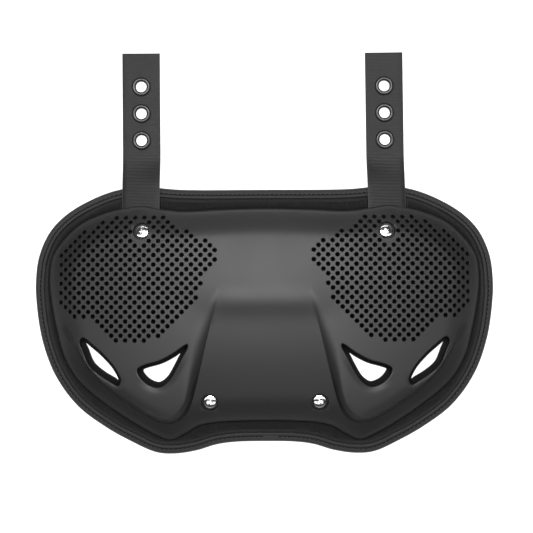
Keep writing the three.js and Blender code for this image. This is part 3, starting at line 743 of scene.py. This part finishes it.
def make_stitches():
    route = moved_in(pad_outline(TAPE_STATIONS), STITCH_INSET)
    length = np.linalg.norm(np.roll(route, -1, axis=0) - route, axis=1).sum()
    count = int(length / STITCH_PITCH / 2) * 2
    marks = spaced(np.vstack([route, route[:1]]), True, count)
    ahead = np.roll(marks, -1, axis=0) - np.roll(marks, 1, axis=0)
    ahead /= np.linalg.norm(ahead, axis=1)[:, None]
    places, turns = [], []
    for front in (True, False):
        height = bow(marks) + (TAPE_TOP - THREAD_FRONT_SINK if front else THREAD_BACK_SINK)
        for k, ((x, y), (run_x, run_y)) in enumerate(zip(marks, ahead)):
            swing = math.radians(STITCH_SWING if k % 2 else -STITCH_SWING)
            forward = Vector((run_x * math.cos(swing) - run_y * math.sin(swing),
                              run_x * math.sin(swing) + run_y * math.cos(swing), 0))
            places.append((x, y, height[k]))
            turns.append(facing(forward, (0, 0, 1 if front else -1)))
    piece = point_piece("binding_stitches", places, turns)
    return grow(piece, stitch_tree(thread_finish()), {
        "Thread diameter": THREAD_DIAMETER, "Stitch length": STITCH_LENGTH,
    })


binding_tape = make_binding()
binding_tape.data.materials.append(tape_finish())
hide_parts("binding")
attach(binding_tape, "root")

binding_stitches = make_stitches()
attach(binding_stitches, "root")


# ---------------------------------------------------------------------------- posts
# Four plated steel posts come through the pad from behind, each with a round flange. They are
# the CAD solids themselves.
def rubbed_finish(name, color, roughness, marks, tones, rough, relief, **values):
    """A finish whose colour, roughness and relief all follow one cloud of fine marks."""
    finish, tree, shader, place = new_finish(name, color, roughness, **values)
    rub = clouds(tree, place, *marks)
    tree.links.new(span(tree, rub, *rough), shader.inputs["Roughness"])
    dress(tree, shader, tint(tree, rub, *tones), rub, relief, 0.0001)
    return finish


plated_steel = rubbed_finish(
    "plated steel", (0.5, 0.5, 0.51), 0.35, (900, 5), ((0.4, 0.4, 0.41), (0.58, 0.58, 0.59)),
    (0.25, 0.5), 0.2, Metallic=1,
)
for corner in ("top_left", "top_right", "bottom_left", "bottom_right"):
    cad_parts[f"post_{corner}"].material_slots[0].material = plated_steel


# ---------------------------------------------------------------------------- straps
# Each strap is a flat coated webbing with fine ribs across it. Its lower end is held between the
# shell and the pad. It runs out over the binding, drops to the surface and lies flat there.
STRAP_REACH = 0.100
STRAP_END_Y = PAD_TOP + STRAP_REACH
STRAP_LENGTH = STRAP_END_Y - TOP_SCREW_Y + STRAP_TUCK
RIB_PITCH = 0.0011
RIB_DEPTH = 0.00016
EYELET_PITCH = 0.020
EYELET_INSET = 0.025
EYELET_HOLE = 0.0107
STRAP_EDGE_ROUND = 0.0004
STRAP_HOLE_SIDES = 40
DRILL_DEPTH = 0.012
STRAP_FLAT_PLACES = 9
STATIONS_PER_RIB = 6


def webbing_finish():
    finish, tree, shader, place = new_finish(
        "ribbed coated webbing", (0.035, 0.035, 0.036), 0.5, Specular_IOR_Level=0.3,
    )
    across = wire(tree, "ShaderNodeUVMap", uv_map="strap").outputs[0]
    cloud = clouds(tree, place, 45, 4, 0.6)
    base = tint(tree, cloud, (0.006, 0.006, 0.0063), (0.010, 0.010, 0.0105))
    parts = wire(tree, "ShaderNodeSeparateXYZ", {0: across})
    # The strap's long edges are painted lighter: a painted highlight along them.
    edge = step_up(tree, reckoned(tree, "ABSOLUTE", parts.outputs[0]), 0.0134, 0.0139)
    # Under the shell, where the perforations look down on it, the strap is made dull.
    # There it is painted near black: painted shade under the shell.
    cover = step_up(tree, parts.outputs[1], 0.018, 0.0195)
    bare = tint(tree, cover, (0.001, 0.001, 0.001), base)
    color = tint(tree, edge, bare, (0.05, 0.05, 0.052))
    values = {0: cover, 2: 1.0, 3: span(tree, cloud, 0.4, 0.58)}
    tree.links.new(wire(tree, "ShaderNodeMix", values).outputs[0], shader.inputs["Roughness"])
    dress(tree, shader, color, clouds(tree, place, 2200, 2), 0.25, 0.0001)
    return finish


def strap_places(side, lean, across, along, height):
    """Places on a strap, from their place across and along it and their height on its back."""
    plan = strap_plan(side, lean, across, along)
    return np.column_stack([plan, strap_back(plan) + height])


def make_strap(name, side, lean):
    """The bare strap, finely divided along its length, with its rib strength on each point."""
    half, top, round_off = STRAP_WIDTH / 2, STRAP_THICKNESS, STRAP_EDGE_ROUND
    flat = np.linspace(-half + round_off, half - round_off, STRAP_FLAT_PLACES)
    ring = [(x, top) for x in flat[::-1]] + [(-half, top - round_off), (-half, round_off)]
    ring += [(x, 0) for x in flat] + [(half, round_off), (half, top - round_off)]
    ribbed = ([1] * STRAP_FLAT_PLACES + [0, 0]) * 2
    stations = int(STRAP_LENGTH / RIB_PITCH * STATIONS_PER_RIB)
    marks = np.linspace(-STRAP_TUCK, STRAP_LENGTH - STRAP_TUCK, stations)
    count = len(ring)
    across, height = np.array(ring, float).T
    rows = [strap_places(side, lean, across, np.full(count, mark), height) for mark in marks]
    faces = swept_faces(stations, count, False)
    faces += [tuple(range(count)), tuple(range((stations - 1) * count, stations * count))[::-1]]
    piece = mesh_object(name, np.vstack(rows), faces)
    for label, values in (("ribbed", np.tile(ribbed, stations)), ("run", np.repeat(marks, count))):
        attribute = piece.data.attributes.new(label, "FLOAT", "POINT")
        attribute.data.foreach_set("value", values.astype(np.float32))
    layer = piece.data.uv_layers.new(name="strap")
    for k, corner in enumerate(piece.data.loops):
        station, j = divmod(corner.vertex_index, count)
        layer.data[k].uv = (ring[j][0], marks[station])
    return piece


def cut_away(tree, body, points, cutter):
    """A body with a cutter taken out of it at every point."""
    cutters = set_on(tree, points, cutter)
    real = wire(tree, "GeometryNodeRealizeInstances", {"Geometry": cutters})
    values = {"Mesh 1": body, "Mesh 2": real.outputs[0]}
    settings = {"operation": "DIFFERENCE", "solver": "MANIFOLD"}
    return wire(tree, "GeometryNodeMeshBoolean", values, **settings).outputs[0]


def rib_tree(finish):
    """Ribs across a strap, and the holes for its eyelets and its screw."""
    tree, given = geometry_tree("strap ribs and holes", [
        ("Rib pitch", "NodeSocketFloat"), ("Rib depth", "NodeSocketFloat"),
        ("Holes", "NodeSocketObject"), ("Hole diameter", "NodeSocketFloat"),
    ])
    run = wire(tree, "GeometryNodeInputNamedAttribute", {"Name": "run"})
    ribbed = wire(tree, "GeometryNodeInputNamedAttribute", {"Name": "ribbed"})
    turns = reckoned(tree, "DIVIDE", run.outputs[0], given["Rib pitch"])
    wave = reckoned(tree, "COSINE", reckoned(tree, "MULTIPLY", turns, 2 * math.pi))
    half = reckoned(tree, "MULTIPLY", reckoned(tree, "SUBTRACT", wave, 1), 0.5)
    deep = reckoned(tree, "MULTIPLY", half, given["Rib depth"])
    shown = reckoned(tree, "MULTIPLY", deep, ribbed.outputs[0])
    normal = wire(tree, "GeometryNodeInputNormal")
    values = {0: normal.outputs[0], "Scale": shown}
    shift = wire(tree, "ShaderNodeVectorMath", values, operation="SCALE")
    values = {"Geometry": given["Geometry"], "Offset": shift.outputs[0]}
    body = wire(tree, "GeometryNodeSetPosition", values)
    radius = reckoned(tree, "MULTIPLY", given["Hole diameter"], 0.5)
    values = {"Vertices": STRAP_HOLE_SIDES, "Radius": radius, "Depth": DRILL_DEPTH}
    drill = wire(tree, "GeometryNodeMeshCylinder", values)
    spots = wire(tree, "GeometryNodeObjectInfo", {"Object": given["Holes"]},
                 transform_space="RELATIVE")
    cut = cut_away(tree, body.outputs[0], spots.outputs["Geometry"], drill.outputs[0])
    end_tree(tree, cut, finish)
    return tree


rib_maker = rib_tree(webbing_finish())
eyelet_places = []
for strap_name, (side, lean) in STRAP_LEANS.items():
    strap = make_strap(f"strap_webbing_{strap_name}", side, lean)
    marks = STRAP_LENGTH - STRAP_TUCK - EYELET_INSET - EYELET_PITCH * np.arange(3)
    centres = strap_places(side, lean, np.zeros(3), marks, 0)
    eyelet_places += list(centres)
    square = square_to_bow(side * TOP_SCREW_X, TOP_SCREW_Y)
    seat_height = bow(np.array([[TOP_SCREW_X, TOP_SCREW_Y]]))[0]
    foot = Vector((side * TOP_SCREW_X, TOP_SCREW_Y, seat_height))
    through = foot + square @ Vector((0, 0, STRAP_SEAT))
    turns = [(0, 0, 0)] * 3 + [square.to_euler()]
    holes = point_piece("strap_holes", [*centres, through], turns)
    grow(strap, rib_maker, {
        "Rib pitch": RIB_PITCH, "Rib depth": RIB_DEPTH, "Holes": holes,
        "Hole diameter": EYELET_HOLE,
    })
    bpy.data.objects.remove(holes)
    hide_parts(f"strap_{strap_name}")
    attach(strap, "root")


# ---------------------------------------------------------------------------- eyelets
# Three rolled rings in each strap, of thin sheet metal painted gloss black. Each is pressed
# through its hole and rolled over on the front.
EYELET_BORE = 0.008
EYELET_FLANGE = 0.014
EYELET_WALL = 0.0009
EYELET_SEAT = STRAP_THICKNESS + GAP
EYELET_CROWN = 0.0013
EYELET_LIP = 0.0002
EYELET_SIDES = 48


def turned_shape(name, profile, sides):
    """A closed ring or body turned about +Z from a profile of radius and height."""
    count = len(profile)
    on_axis = [radius == 0 for radius, _ in profile]
    places = []
    number = {}
    for k, (radius, height) in enumerate(profile):
        for j in range(sides):
            if on_axis[k] and j:
                number[k, j] = number[k, 0]
                continue
            turn = 2 * math.pi * j / sides
            number[k, j] = len(places)
            places.append((radius * math.cos(turn), radius * math.sin(turn), height))
    faces = []
    for k in range(count if not any(on_axis) else count - 1):
        after = (k + 1) % count
        for j in range(sides):
            ahead = (j + 1) % sides
            corners = [number[k, j], number[k, ahead], number[after, ahead], number[after, j]]
            face = list(dict.fromkeys(corners))
            if len(face) > 2:
                faces.append(face)
    return mesh_object(name, places, faces)


def setting_tree(name, finish):
    """One made piece set down on every point of a route, with the point's turn."""
    tree, given = geometry_tree(name, [("Piece", "NodeSocketObject")])
    info = wire(tree, "GeometryNodeObjectInfo", {"Object": given["Piece"]})
    end_tree(tree, set_on(tree, given["Geometry"], info.outputs["Geometry"]), finish)
    return tree


gloss_black = rubbed_finish(
    "gloss black paint", (0.01, 0.01, 0.011), 0.22, (700, 6, 0.7),
    ((0.002, 0.002, 0.0022), (0.006, 0.006, 0.0063)), (0.14, 0.34), 0.15,
    Specular_IOR_Level=0.35, Coat_Weight=0.15, Coat_Roughness=0.08,
)
bore, flange = EYELET_BORE / 2, EYELET_FLANGE / 2
barrel = bore + EYELET_WALL
eyelet_profile = [(bore, 0), (barrel, 0), (barrel, EYELET_SEAT), (flange, EYELET_SEAT)]
reach, crown = (flange - bore) / 2, EYELET_CROWN - EYELET_LIP
for turn in np.linspace(0, 180, 13):
    swing = math.radians(turn)
    eyelet_profile.append((bore + reach + reach * math.cos(swing),
                           EYELET_SEAT + EYELET_LIP + crown * math.sin(swing)))
ring = turned_shape("eyelet_ring", eyelet_profile, EYELET_SIDES)
eyelets = point_piece("eyelets", eyelet_places, [(0, 0, 0)] * 6)
grow(eyelets, setting_tree("eyelets in the straps", gloss_black), {"Piece": ring})
bpy.data.objects.remove(ring)
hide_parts(*(f"eyelet_{side}_{number}" for side in STRAP_LEANS for number in (1, 2, 3)))
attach(eyelets, "root")


# ---------------------------------------------------------------------------- shell
# The shell is one moulded sheet of satin black polyethylene. A raised lobe stands at each lower
# corner, with two slanted vents through it, and each upper side is a field of punched round
# holes. Four sunk seats take the screws. The panel between the lobes is plain.
SHELL_THICKNESS = 0.0025
SHELL_SEAT = PAD_THICKNESS + GAP
SHELL_RISE = 0.0025
SHELL_RISE_RUN = 0.020
LOBE_HEIGHT = 0.010
BROW_HEIGHT = 0.002
BROW_SPREAD_ABOVE = 0.015
BROW_SPREAD_BELOW = 0.0105
BROW_Y = SHELL_BOTTOM + 0.605 * SHELL_LENGTH
SHELL_EDGE_ROUND = 0.0013
VENT_LIP = 0.0007
# The lobe's walls are rounder below this share of the half width, over a short run
LOBE_ROUND_BELOW = 0.43
LOBE_ROUND_RUN = 0.08
LOBE_WALL_ROUNDING = 1.12
LOBE_EXTRA_ROUNDING = 0.9
BROW_FULL = 0.15
BROW_FADE = 0.25
DISH_EASE = 1.3
SEAT_CORNER = 0.0005
SEAT_HOLE_EDGE = 0.0002
# The lobes fade out along a slanted line, in shares of the shell's half width and length
LOBE_FADE_RUN = 0.503
LOBE_FADE_SIDE = 0.933
LOBE_FADE_SLANT = 0.214
LOBE_FADE_EASE = 1.25
LOBE_WALL_LINES = (0, 0.06, 0.16, 0.32, 0.52, 0.75, 1)
VENT_LINES = (0.0015, 0.0026, 0.0036, 0.0046)
BACK_EDGE_ROUND = 0.0003
SHELL_MESH = 0.0028
SHELL_BACK_MESH = 0.0045
SLOPE_STEP = 0.0004
# Round the outer and the inner vent: the side of the dish, its run and its depth
VENT_DISHES = [((0.5, -0.87), 0.0026, 0.0006), ((-0.5, -0.87), 0.0046, 0.0010)]
SCREW_SEAT = 0.0126
SCREW_SEAT_CUP = 0.015
SCREW_SEAT_FLOOR = 0.0014
SCREW_SEAT_ROUND = 0.0004
SCREW_HOLE = 0.0049
HOLE_DIAMETER = 0.003
HOLE_PITCH = 0.0069
HOLE_MARGIN = 0.0086
HOLE_RIM = 0.00035
HOLE_KEEP_OFF = 0.0082
HOLE_SIDES = 14
SEAT_SIDES = 48

# The edge of the right-hand lobe's raised top and the foot of its wall, as shares of the shell's
# half width and of its length
LOBE_CREST = [
    (0.933, 0.503), (0.896, 0.442), (0.848, 0.366), (0.798, 0.299), (0.733, 0.244),
    (0.655, 0.192), (0.526, 0.127), (0.48, 0.108), (0.433, 0.107), (0.386, 0.14), (0.364, 0.201),
    (0.354, 0.294), (0.341, 0.399), (0.299, 0.501), (0.236, 0.623), (0.217, 0.66),
]
LOBE_FOOT = [
    (0.937, 0.502), (0.902, 0.435), (0.855, 0.359), (0.808, 0.29), (0.741, 0.229), (0.669, 0.176),
    (0.53, 0.094), (0.484, 0.076), (0.446, 0.07), (0.402, 0.08), (0.362, 0.114), (0.338, 0.159),
    (0.301, 0.288), (0.254, 0.471), (0.22, 0.597), (0.211, 0.658),
]

# The first and the last hole of each staggered row, counted from the shell's side
FIRST_HOLE = [6, 4, 4, 2, 2, 1, 1, 0, 0, 0, 0, 0, 0, 0, 0, 0, 0, 0, 0, 0, 1, 1, 4, 4, 5, 5, 6]
LAST_HOLE = [11, 11, 12, 13, 14, 15, 16, 16, 16, 16, 16, 15, 15, 14, 15, 14, 14, 14, 14, 13, 13,
             12, 12, 11, 11, 10, 9]

crest_line = curve_through(on_shell(LOBE_CREST), False, 240)
foot_line = curve_through(on_shell(LOBE_FOOT), False, 240)


def lobe_lift(places):
    """Height of the raised lobes: nothing along a slanted line, full at their tips."""
    right = np.abs(places[:, 0])
    up = (places[:, 1] - SHELL_BOTTOM) / SHELL_LENGTH
    slant = (LOBE_FADE_SIDE - right / SHELL_HALF_WIDTH) * LOBE_FADE_SLANT
    below = LOBE_FADE_RUN + slant - up
    full = LOBE_HEIGHT * np.clip(below / LOBE_FADE_RUN, 0, 1) ** LOBE_FADE_EASE
    folded = np.column_stack([right, places[:, 1]])
    in_crest = depth_inside(crest_line, folded)
    in_foot = depth_inside(foot_line, folded)
    share = np.clip(in_foot / np.maximum(in_foot - in_crest, 1e-9), 0, 1)
    inward = smooth((LOBE_ROUND_BELOW - right / SHELL_HALF_WIDTH) / LOBE_ROUND_RUN)
    rounding = LOBE_WALL_ROUNDING + LOBE_EXTRA_ROUNDING * inward
    wall = full * (1 - (1 - share) ** rounding)
    return np.where(in_crest >= 0, full, np.where(in_foot <= 0, 0, wall))


def vent_dish(places):
    """How far the shell is dished round its vents, on the side that each dish lies."""
    folded = np.column_stack([np.abs(places[:, 0]), places[:, 1]])
    depth = np.zeros(len(places))
    for vent, (side, run, deep) in zip(vent_outlines[::2], VENT_DISHES):
        away = -depth_inside(vent, folded)
        off = folded - vent.mean(0)
        off /= np.maximum(np.linalg.norm(off, axis=1), 1e-9)[:, None]
        facing_side = smooth((off @ side + 0.15) / 0.7)
        near = np.clip(1 - np.maximum(away, 0) / run, 0, 1)
        depth += deep * facing_side * near ** DISH_EASE
    return depth


def shell_front(places):
    rise = SHELL_RISE * smooth(depth_inside(shell_edge, places) / SHELL_RISE_RUN)
    off = places[:, 1] - BROW_Y
    spread = np.where(off > 0, BROW_SPREAD_ABOVE, BROW_SPREAD_BELOW)
    brow = BROW_HEIGHT * np.exp(-(off / spread) ** 2)
    across = np.abs(places[:, 0]) / SHELL_HALF_WIDTH
    middle = 1 - smooth((across - BROW_FULL) / BROW_FADE)
    height = SHELL_SEAT + SHELL_THICKNESS + rise + brow * middle
    height = height + lobe_lift(places) - vent_dish(places)
    return bow(places) + height


def shell_back(places):
    """The back lies a wall's thickness under the front, and never below its seat."""
    front = shell_front(places)
    slope_x = (shell_front(places + (SLOPE_STEP, 0)) - front) / SLOPE_STEP
    slope_y = (shell_front(places + (0, SLOPE_STEP)) - front) / SLOPE_STEP
    steep = np.minimum(np.sqrt(1 + slope_x ** 2 + slope_y ** 2), 2.2)
    return np.maximum(front - SHELL_THICKNESS * steep, bow(places) + SHELL_SEAT)


def seat_ring(x, y, radius, height):
    """A ring of places round a screw's axis, at a height above the pad's back."""
    flat = round_hole(0, 0, radius, SEAT_SIDES)
    square = square_to_bow(x, y).to_matrix()
    up = height * square[2][2]
    ring = np.column_stack([flat, np.full(SEAT_SIDES, up)]) @ np.array(square).T
    return ring + (x, y, bow(np.array([[x, y]]))[0])


def seat_mouth(x, y, radius):
    """The plan of a screw seat's mouth, a round hole seen from above its tilted axis."""
    return seat_ring(x, y, radius, SHELL_SEAT + SHELL_THICKNESS + SHELL_RISE)[:, :2]


def seat_rings(x, y):
    """Rings from a screw seat's mouth, down its wall, over its floor and through its hole."""
    rings = rolled_edge(seat_mouth(x, y, SCREW_SEAT / 2), SCREW_SEAT_ROUND, shell_front)[1:]
    floor = SHELL_SEAT + SCREW_SEAT_FLOOR
    for radius, height in (
        (SCREW_SEAT / 2, floor + SEAT_CORNER), (SCREW_SEAT / 2 - SEAT_CORNER, floor),
        (SCREW_HOLE / 2 + SEAT_HOLE_EDGE, floor), (SCREW_HOLE / 2, floor - SEAT_HOLE_EDGE),
        (SCREW_HOLE / 2, SHELL_SEAT), (SCREW_SEAT_CUP / 2, SHELL_SEAT),
    ):
        rings.append(seat_ring(x, y, radius, height))
    return rings


def make_shell():
    mouths = [seat_mouth(x, y, SCREW_SEAT / 2) for x, y in SCREW_SEATS]
    walls = [shell_edge, *vent_outlines]
    radii = [SHELL_EDGE_ROUND] + [VENT_LIP] * 4
    wall_lines = [foot_line + (crest_line - foot_line) * share for share in LOBE_WALL_LINES]
    lines = [line for right in wall_lines for line in (right, mirrored(right))]
    lines += [moved_in(vent, run) for vent in vent_outlines for run in VENT_LINES]
    front_loops = [moved_in(loop, radius) for loop, radius in zip(walls, radii)]
    front_loops += [moved_in(mouth, SCREW_SEAT_ROUND) for mouth in mouths]
    flat, faces, rings = flat_sheet(front_loops, lines, SHELL_MESH)
    front = (np.column_stack([flat, shell_front(flat)]), faces, rings)
    back_loops = [moved_in(loop, BACK_EDGE_ROUND) for loop in walls]
    back_loops += [
        seat_ring(x, y, SCREW_SEAT_CUP / 2, SHELL_SEAT + SHELL_RISE)[:, :2] for x, y in SCREW_SEATS
    ]
    # The back is seen only through the vents, so it follows every other line of the lobes' walls
    few = wall_lines[::2]
    back_lines = few + [mirrored(line) for line in few]
    flat, faces, rings = flat_sheet(back_loops, back_lines, SHELL_BACK_MESH)
    back = (np.column_stack([flat, shell_back(flat)]), faces, rings)
    rims = []
    for loop, radius in zip(walls, radii):
        down = rolled_edge(loop, radius, shell_front)[1:]
        up = rolled_edge(loop, BACK_EDGE_ROUND, shell_back, up=-1, steps=2)[1:]
        rims.append(down + up[::-1])
    rims += [seat_rings(x, y) for x, y in SCREW_SEATS]
    return closed_shape("moulded_shell", front, back, rims)


def hole_places():
    places = []
    top = SHELL_BOTTOM + SHELL_LENGTH
    for row, (first, last) in enumerate(zip(FIRST_HOLE, LAST_HOLE)):
        for hole in range(first, last + 1):
            x = SHELL_HALF_WIDTH - HOLE_MARGIN - hole * HOLE_PITCH
            x -= (row % 2) * HOLE_PITCH / 2
            y = top - HOLE_MARGIN - row * HOLE_PITCH / 2
            places += [(x, y), (-x, y)]
    places = np.array(places)
    mouth = seat_mouth(*SCREW_SEATS[1], SCREW_SEAT / 2).mean(0)
    away = np.hypot(np.abs(places[:, 0]) - mouth[0], places[:, 1] - mouth[1])
    clear = away > HOLE_KEEP_OFF
    clear &= depth_inside(shell_edge, places) > HOLE_DIAMETER
    for vent in vent_outlines:
        clear &= depth_inside(vent, places) < -HOLE_DIAMETER
    return places[clear]


def perforation_tree(finish):
    """Round holes with a small chamfer, cut square to the shell at every point."""
    tree, given = geometry_tree("shell perforations", [
        ("Places", "NodeSocketObject"), ("Hole diameter", "NodeSocketFloat"),
        ("Rim", "NodeSocketFloat"),
    ])
    rim = given["Rim"]
    spots = wire(tree, "GeometryNodeObjectInfo", {"Object": given["Places"]})
    radius = reckoned(tree, "MULTIPLY", given["Hole diameter"], 0.5)
    values = {"Vertices": HOLE_SIDES, "Radius": radius, "Depth": DRILL_DEPTH}
    drill = wire(tree, "GeometryNodeMeshCylinder", values)
    countersink = wire(tree, "GeometryNodeMeshCone", {
        "Vertices": HOLE_SIDES, "Depth": reckoned(tree, "MULTIPLY", rim, 3),
        "Radius Top": reckoned(tree, "ADD", reckoned(tree, "ADD", radius, rim), rim),
        "Radius Bottom": reckoned(tree, "SUBTRACT", radius, rim),
    })
    down = wire(tree, "ShaderNodeCombineXYZ", {2: reckoned(tree, "MULTIPLY", rim, -2)})
    values = {"Geometry": countersink.outputs[0], "Offset": down.outputs[0]}
    sunk = wire(tree, "GeometryNodeSetPosition", values)
    body = given["Geometry"]
    for cutter in (drill.outputs[0], sunk.outputs[0]):
        body = cut_away(tree, body, spots.outputs["Geometry"], cutter)
    end_tree(tree, body, finish)
    return tree


def moulded_finish():
    finish, tree, shader, place = new_finish(
        "satin moulded plastic", (0.045, 0.045, 0.047), 0.42, Specular_IOR_Level=0.36,
    )
    cloud = clouds(tree, place, 22, 5, 0.55)
    color = tint(tree, cloud, (0.005, 0.005, 0.0053), (0.0075, 0.0075, 0.0078))
    tree.links.new(span(tree, cloud, 0.36, 0.5), shader.inputs["Roughness"])
    dress(tree, shader, color, clouds(tree, place, 2600, 2), 0.12, 0.00008)
    return finish


moulded_shell = make_shell()
punched = hole_places()
level = shell_front(punched)
slopes = []
for step in ((SLOPE_STEP, 0), (0, SLOPE_STEP)):
    slopes.append((shell_front(punched + step) - shell_front(punched - step)) / (2 * SLOPE_STEP))
normals = [Vector((-a, -b, 1)) for a, b in zip(*slopes)]
turns = [normal.to_track_quat("Z", "Y").to_euler() for normal in normals]
hole_points = point_piece("hole_points", np.column_stack([punched, level]), turns)
grow(moulded_shell, perforation_tree(moulded_finish()), {
    "Places": hole_points, "Hole diameter": HOLE_DIAMETER, "Rim": HOLE_RIM,
}, sharp=math.radians(30))
bpy.data.objects.remove(hole_points)
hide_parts("shell")
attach(moulded_shell, "root")


# ---------------------------------------------------------------------------- screws
# Four bright plated screws with low domed heads and a cross drive. Each sits in its sunk seat
# and turns into the post behind the pad.
SCREW_HEAD = 0.0104
SCREW_CROWN = 0.0019
SCREW_SHANK = 0.004
SCREW_TIP = 0.0033
DRIVE_ARM = 0.0011
DRIVE_REACH = 0.0052
DRIVE_DEPTH = 0.0016
DRIVE_TAPER = 0.0009
DRIVE_CLEAR = 0.001
SCREW_CHAMFER = 0.0003
SCREW_HEAD_EDGE = 0.0004
SCREW_SIDES = 48
# How far the cross is turned on each screw, in degrees
DRIVE_TURNS = (8, 35, 70, 20)


def make_screw():
    """A screw along +Z from the pad's back, its head cut with a cross."""
    upright = square_to_bow(*SCREW_SEATS[0]).to_matrix()[2][2]
    under = SHELL_SEAT * upright + SCREW_SEAT_FLOOR + GAP
    shank, head = SCREW_SHANK / 2, SCREW_HEAD / 2
    shoulder, top = under + SCREW_HEAD_EDGE, under + SCREW_CROWN
    profile = [
        (0, SCREW_TIP), (shank - SCREW_CHAMFER, SCREW_TIP), (shank, SCREW_TIP + SCREW_CHAMFER),
        (shank, under), (head, under), (head, shoulder),
    ]
    dome = SCREW_CROWN - SCREW_HEAD_EDGE
    for swing in np.radians(np.linspace(8, 90, 12)[:-1]):
        profile.append((head * math.cos(swing), shoulder + dome * math.sin(swing)))
    profile.append((0, top))
    screw = turned_shape("screw", profile, SCREW_SIDES)
    wide, tip, thin = DRIVE_REACH / 2, DRIVE_REACH / 2 - DRIVE_TAPER, DRIVE_ARM / 2
    over, low = top + DRIVE_CLEAR, top - DRIVE_DEPTH
    corners = [(-wide, over), (-tip, low), (tip, low), (wide, over)]
    sides = [
        (0, 1, 2, 3), (7, 6, 5, 4), (0, 4, 5, 1), (1, 5, 6, 2), (2, 6, 7, 3), (3, 7, 4, 0),
    ]
    for across in (False, True):
        places = [(x, y, z) for y in (-thin, thin) for x, z in corners]
        if across:
            places = [(-y, x, z) for x, y, z in places]
        arm = bpy.data.meshes.new("drive")
        arm.from_pydata(places, [], sides)
        cutter = placed("drive", arm)
        cut = screw.modifiers.new("drive", "BOOLEAN")
        cut.operation, cut.object, cut.solver = "DIFFERENCE", cutter, "MANIFOLD"
        keep_result(screw, cut)
        bpy.data.objects.remove(cutter)
    return screw


chrome = rubbed_finish(
    "bright plating", (0.75, 0.75, 0.77), 0.1, (1100, 6, 0.7),
    ((0.66, 0.66, 0.68), (0.84, 0.84, 0.86)), (0.06, 0.2), 0.1, Metallic=1,
)


screw = make_screw()
seats = np.array(SCREW_SEATS)
turns = []
for (x, y), drive in zip(SCREW_SEATS, DRIVE_TURNS):
    spin = Matrix.Rotation(math.radians(drive), 3, "Z")
    turns.append((square_to_bow(x, y).to_matrix() @ spin).to_euler())
screws = point_piece("screws", np.column_stack([seats, bow(seats)]), turns)
screw_tree = setting_tree("screws in their seats", chrome)
grow(screws, screw_tree, {"Piece": screw}, sharp=math.radians(25))
bpy.data.objects.remove(screw)
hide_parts(*(f"screw_{corner}" for corner in ("top_left", "top_right", "bottom_left", "bottom_right")))
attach(screws, "root")


# ---------------------------------------------------------------------------- stage
# A plain pale surface, a large soft light beyond the plate's top, a broad one overhead, thin
# strips near and far, and fills at three sides. The camera looks straight down.
CAMERA_HEIGHT = 1.306
CAMERA_X = 0.0016
CAMERA_Y = -0.0103
CAMERA_TURN = -0.25
# The picture's width, at this height above the surface
FRAME_WIDTH = 0.396
FRAME_HEIGHT = 0.006
SENSOR = 36
FLOOR_HALF = 3


def floor_finish():
    finish, tree, shader, place = new_finish("pale surface", (0.2, 0.2, 0.2), 0.9)
    color = tint(tree, clouds(tree, place, 3, 2), (0.195, 0.195, 0.195), (0.205, 0.205, 0.205))
    tree.links.new(color, shader.inputs["Base Color"])
    shader.inputs["Emission Color"].default_value = (1, 1, 1, 1)
    shader.inputs["Emission Strength"].default_value = 1
    return finish


def soft_light(name, place, aim, size, power):
    light = bpy.data.lights.new(name, "AREA")
    light.shape, light.energy = "RECTANGLE", power
    light.size, light.size_y = size
    lamp = placed(name, light)
    lamp.location = place
    lamp.rotation_euler = (Vector(place) - Vector(aim)).to_track_quat("Z", "Y").to_euler()


far = FLOOR_HALF
floor = mesh_object("floor", [(-far, -far, 0), (far, -far, 0), (far, far, 0), (-far, far, 0)],
                    [(0, 1, 2, 3)])
floor.data.materials.append(floor_finish())
# The surface's own glow keeps it pale in the picture and lights nothing but itself
glow_lights = bpy.data.collections.new("glow lights")
glow_lights.objects.link(floor)
floor.light_linking.receiver_collection = glow_lights

soft_light("key", (0, 0.5, 1.7), (0, -0.02, 0), (1.5, 0.35), 23)
soft_light("broad", (0, 0.2, 1.9), (0, -0.02, 0), (1.5, 1.1), 19.5)
soft_light("near strip", (0, -0.36, 1.75), (0, -0.02, 0), (1.5, 0.12), 2.5)
soft_light("far strip", (0, 1.3, 0.95), (0, 0, 0), (1.6, 0.08), 2.5)
soft_light("near fill", (0, -1.0, 1.35), (0, 0, 0), (1.6, 0.4), 4)
for side, label in ((-1, "left fill"), (1, "right fill")):
    soft_light(label, (side * 1.1, -0.15, 1.35), (0, 0, 0), (0.5, 1.2), 4)

# The studio's walls are pale near the floor and dark overhead
world = bpy.data.worlds.new("studio")
world.use_nodes = True
around = world.node_tree
walls = wire(around, "ShaderNodeTexCoord").outputs["Generated"]
height = wire(around, "ShaderNodeSeparateXYZ", {0: walls}).outputs[2]
glow = wire(around, "ShaderNodeMapRange", {0: height, 2: 0.45, 3: 1.0, 4: 0.05}).outputs[0]
around.links.new(glow, around.nodes["Background"].inputs["Strength"])
around.nodes["Background"].inputs["Color"].default_value = (1, 1, 1, 1)
bpy.context.scene.world = world
bpy.context.scene.view_settings.view_transform = "Standard"

lens = bpy.data.cameras.new("camera")
lens.sensor_width = SENSOR
lens.lens = SENSOR * (CAMERA_HEIGHT - FRAME_HEIGHT) / FRAME_WIDTH
camera = placed("camera", lens)
camera.location = (CAMERA_X, CAMERA_Y, CAMERA_HEIGHT)
camera.rotation_euler = (0, 0, math.radians(CAMERA_TURN))
bpy.context.scene.camera = camera
